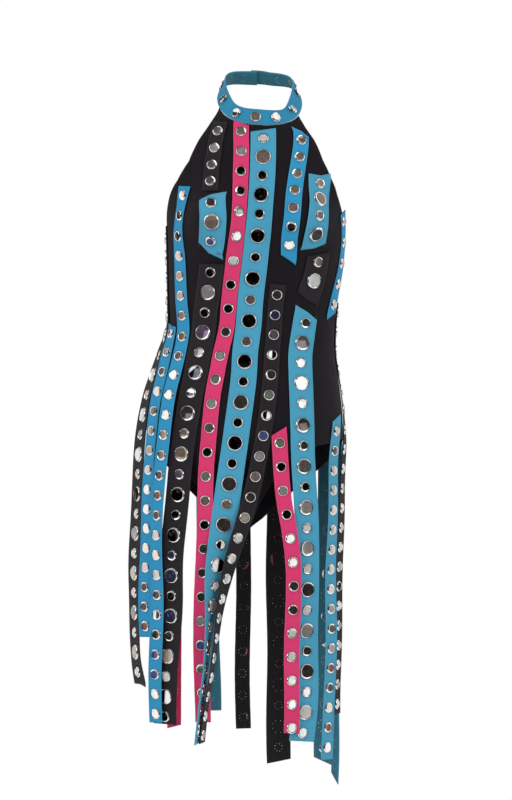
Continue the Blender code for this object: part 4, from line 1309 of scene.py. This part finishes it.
def front_panel():
    """Front: its top meets the collar, and its sides follow the armholes."""
    share = np.linspace(-90, 90, COLUMNS)
    top = np.full(COLUMNS, COLLAR_FRONT_DROP)
    for _ in range(12):
        turned = share / 90 * side_angle(share, top)
        top = -collar_lower_edge(turned)[..., 2] + SEAM_GAP
    bottom = leg_drop(share, FRONT_LEG_LINE)
    drop = top + (bottom - top) * np.linspace(0, 1, FRONT_ROWS)[:, None]
    angle = share / 90 * side_angle(np.broadcast_to(share, drop.shape), drop)
    return build_panel("front_panel_cloth", angle, drop, tuck(drop, FRONT_TUCK_DROP), FRONT_CREASES,
                       lambda y: np.minimum(y, -SEAM_GAP / 2))


def back_panel():
    """Back: its top is scooped, lowest in the middle."""
    share = np.linspace(90, 270, COLUMNS)
    side_top = np.interp(share, (90, 270), (RIGHT_ARMHOLE[-1, 0], LEFT_ARMHOLE[-1, 0]))
    top = side_top + BACK_SCOOP * np.sin(np.radians(share - 90)) ** 2
    bottom = leg_drop(share, BACK_LEG_LINE)
    drop = top + (bottom - top) * np.linspace(0, 1, BACK_ROWS)[:, None]
    angle = np.broadcast_to(share, drop.shape).copy()
    return build_panel("back_panel_cloth", angle, drop, tuck(drop, BACK_TUCK_DROP), BACK_CREASES,
                       lambda y: np.maximum(y, SEAM_GAP / 2))


for make, rests_on in ((front_panel, "collar_cloth"), (back_panel, "front_panel_cloth")):
    panel, flat, area = make()
    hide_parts(make.__name__)

# %% [markdown]
# Mirrors only look like mirrors in a room. The studio has a white backdrop, two tall
# softboxes, a pale floor and a dark middle where the photographer stands. The world
# shader draws that room from the direction of a reflection alone. It is the same seen
# from the front and the back, so the costume can be turned. The camera itself sees plain
# white, and the cloth is lit by an even pale sky and three soft lamps.

# %% The room
ROOM_DARK = 0.012
SKY = 0.62
# Low end, high end and softness in degrees, round from the front or back and up from level.
ALL_ROUND = (-90, 180, 1)
RoomPart = namedtuple("RoomPart", "name around up brightness")
ROOM = (
    RoomPart("softboxes", (44, 66, 2), (12, 40, 2), 2.6),
    RoomPart("side walls", (70, 180, 6), (-50, 60, 6), 1.05),
    RoomPart("floor", ALL_ROUND, (-75, -22, 4), 0.38),
    RoomPart("ceiling", ALL_ROUND, (29, 180, 11), 0.10),
    RoomPart("lamps overhead", ALL_ROUND, (59, 180, 7), 0.5),
)


def band_mask(tree, value, low, high, soft):
    """1 between the low and high ends and 0 outside, with soft steps."""
    low, high, soft = (math.radians(degrees) for degrees in (low, high, soft))
    rise = map_range(tree, value, low - soft, low + soft, smooth=True)
    fall = map_range(tree, value, high - soft, high + soft, 1.0, 0.0, smooth=True)
    return times(tree, rise, fall)


def build_room(tree):
    """Brightness by azimuth and elevation of the direction: the brightest part wins."""
    way = tree.nodes.new("ShaderNodeTexCoord").outputs["Generated"]
    parts = split_axes(tree, way)
    side, front = (math_node(tree, "ABSOLUTE", parts[axis]) for axis in "XY")
    azimuth = math_node(tree, "ARCTAN2", side, front)
    elevation = math_node(tree, "ARCSINE", parts["Z"])
    level = 0.0
    for part in ROOM:
        mask = times(tree, band_mask(tree, azimuth, *part.around), band_mask(tree, elevation, *part.up))
        level = math_node(tree, "MAXIMUM", level, times(tree, mask, part.brightness))
    clutter = noise_node(tree, way, 5.5, 2.0, 0.6)
    hue = noise_node(tree, way, 3.1, 1.0)
    warm = mix_colour(tree, map_range(tree, hue, 0.42, 0.58), (0.09, 0.10, 0.17, 1), (0.26, 0.18, 0.14, 1))
    things = mix_colour(tree, map_range(tree, clutter, 0.52, 0.66), (0.0, 0.0, 0.0, 1), warm)
    lights = mix_colour(tree, map_range(tree, clutter, 0.66, 0.71), things, (1.1, 1.1, 1.1, 1))
    dark = mix_colour(tree, 1.0, lights, (ROOM_DARK, ROOM_DARK, ROOM_DARK, 1), "ADD")
    bright = tree.nodes.new("ShaderNodeCombineColor")
    for socket in bright.inputs:
        tree.links.new(level, socket)
    return mix_colour(tree, 1.0, dark, bright.outputs[0], "LIGHTEN")


def build_world():
    """White to the camera, the room to reflections, and an even sky to everything else."""
    world = bpy.data.worlds.new("studio")
    world.use_nodes = True
    tree = world.node_tree
    seen = tree.nodes.new("ShaderNodeLightPath")
    lit = mix_colour(tree, seen.outputs["Is Glossy Ray"], (SKY, SKY, SKY, 1), build_room(tree))
    shown = mix_colour(tree, seen.outputs["Is Camera Ray"], lit, (1, 1, 1, 1))
    tree.links.new(shown, tree.nodes["Background"].inputs["Color"])
    bpy.context.scene.world = world


build_world()
print("room:", ", ".join(part.name for part in ROOM))

# %% [markdown]
# The lamps stay out of the mirrors, which show the softboxes of the room instead. A pale
# floor below the view sends some light back up under the fringe.

# %% Lamps and floor
Lamp = namedtuple("Lamp", "name place size power")
LAMPS = (
    Lamp("left_softbox", (-2.0, -2.3, 0.9), 1.5, 46),
    Lamp("right_softbox", (2.1, -2.2, 0.7), 1.5, 40),
    Lamp("back_softbox", (0.4, 2.9, 1.0), 1.8, 46),
)
LAMP_AIM = (0.0, 0.0, -0.5)
FLOOR_DROP = 1470
FLOOR_RINGS = np.array((10, 500, 1000, 1500))
FLOOR_TURNS = 96


def build_lamps():
    """Square area lights turned to the middle of the costume, unseen in the mirrors."""
    for lamp in LAMPS:
        data = bpy.data.lights.new(lamp.name, "AREA")
        data.size = lamp.size
        data.energy = lamp.power
        light = bpy.data.objects.new(lamp.name, data)
        light.location = lamp.place
        way = np.array(LAMP_AIM) - np.array(lamp.place)
        flat = math.hypot(way[0], way[1])
        light.rotation_euler = (math.atan2(flat, -way[2]), 0, math.atan2(way[1], way[0]) - math.pi / 2)
        light.visible_glossy = False
        bpy.context.collection.objects.link(light)


def build_floor():
    """Round pale floor below the costume, outside the camera's view."""
    turn = 2 * np.pi * np.arange(FLOOR_TURNS) / FLOOR_TURNS
    x, y = (np.outer(FLOOR_RINGS, wave(turn)) for wave in (np.cos, np.sin))
    points = np.stack((x, y, np.full_like(x, -FLOOR_DROP)), axis=-1).reshape(-1, 3)
    mesh = bpy.data.meshes.new("floor")
    mesh.from_pydata((points * MM).tolist(), [], grid_quads(*x.shape, closed=True).tolist())
    material = bpy.data.materials.new("floor")
    material.use_nodes = True
    shader = material.node_tree.nodes["Principled BSDF"]
    shader.inputs["Base Color"].default_value = (0.85, 0.85, 0.85, 1)
    shader.inputs["Roughness"].default_value = 0.9
    mesh.materials.append(material)
    floor = bpy.data.objects.new("floor", mesh)
    bpy.context.collection.objects.link(floor)


build_lamps()
build_floor()
print("lamps:", len(LAMPS))
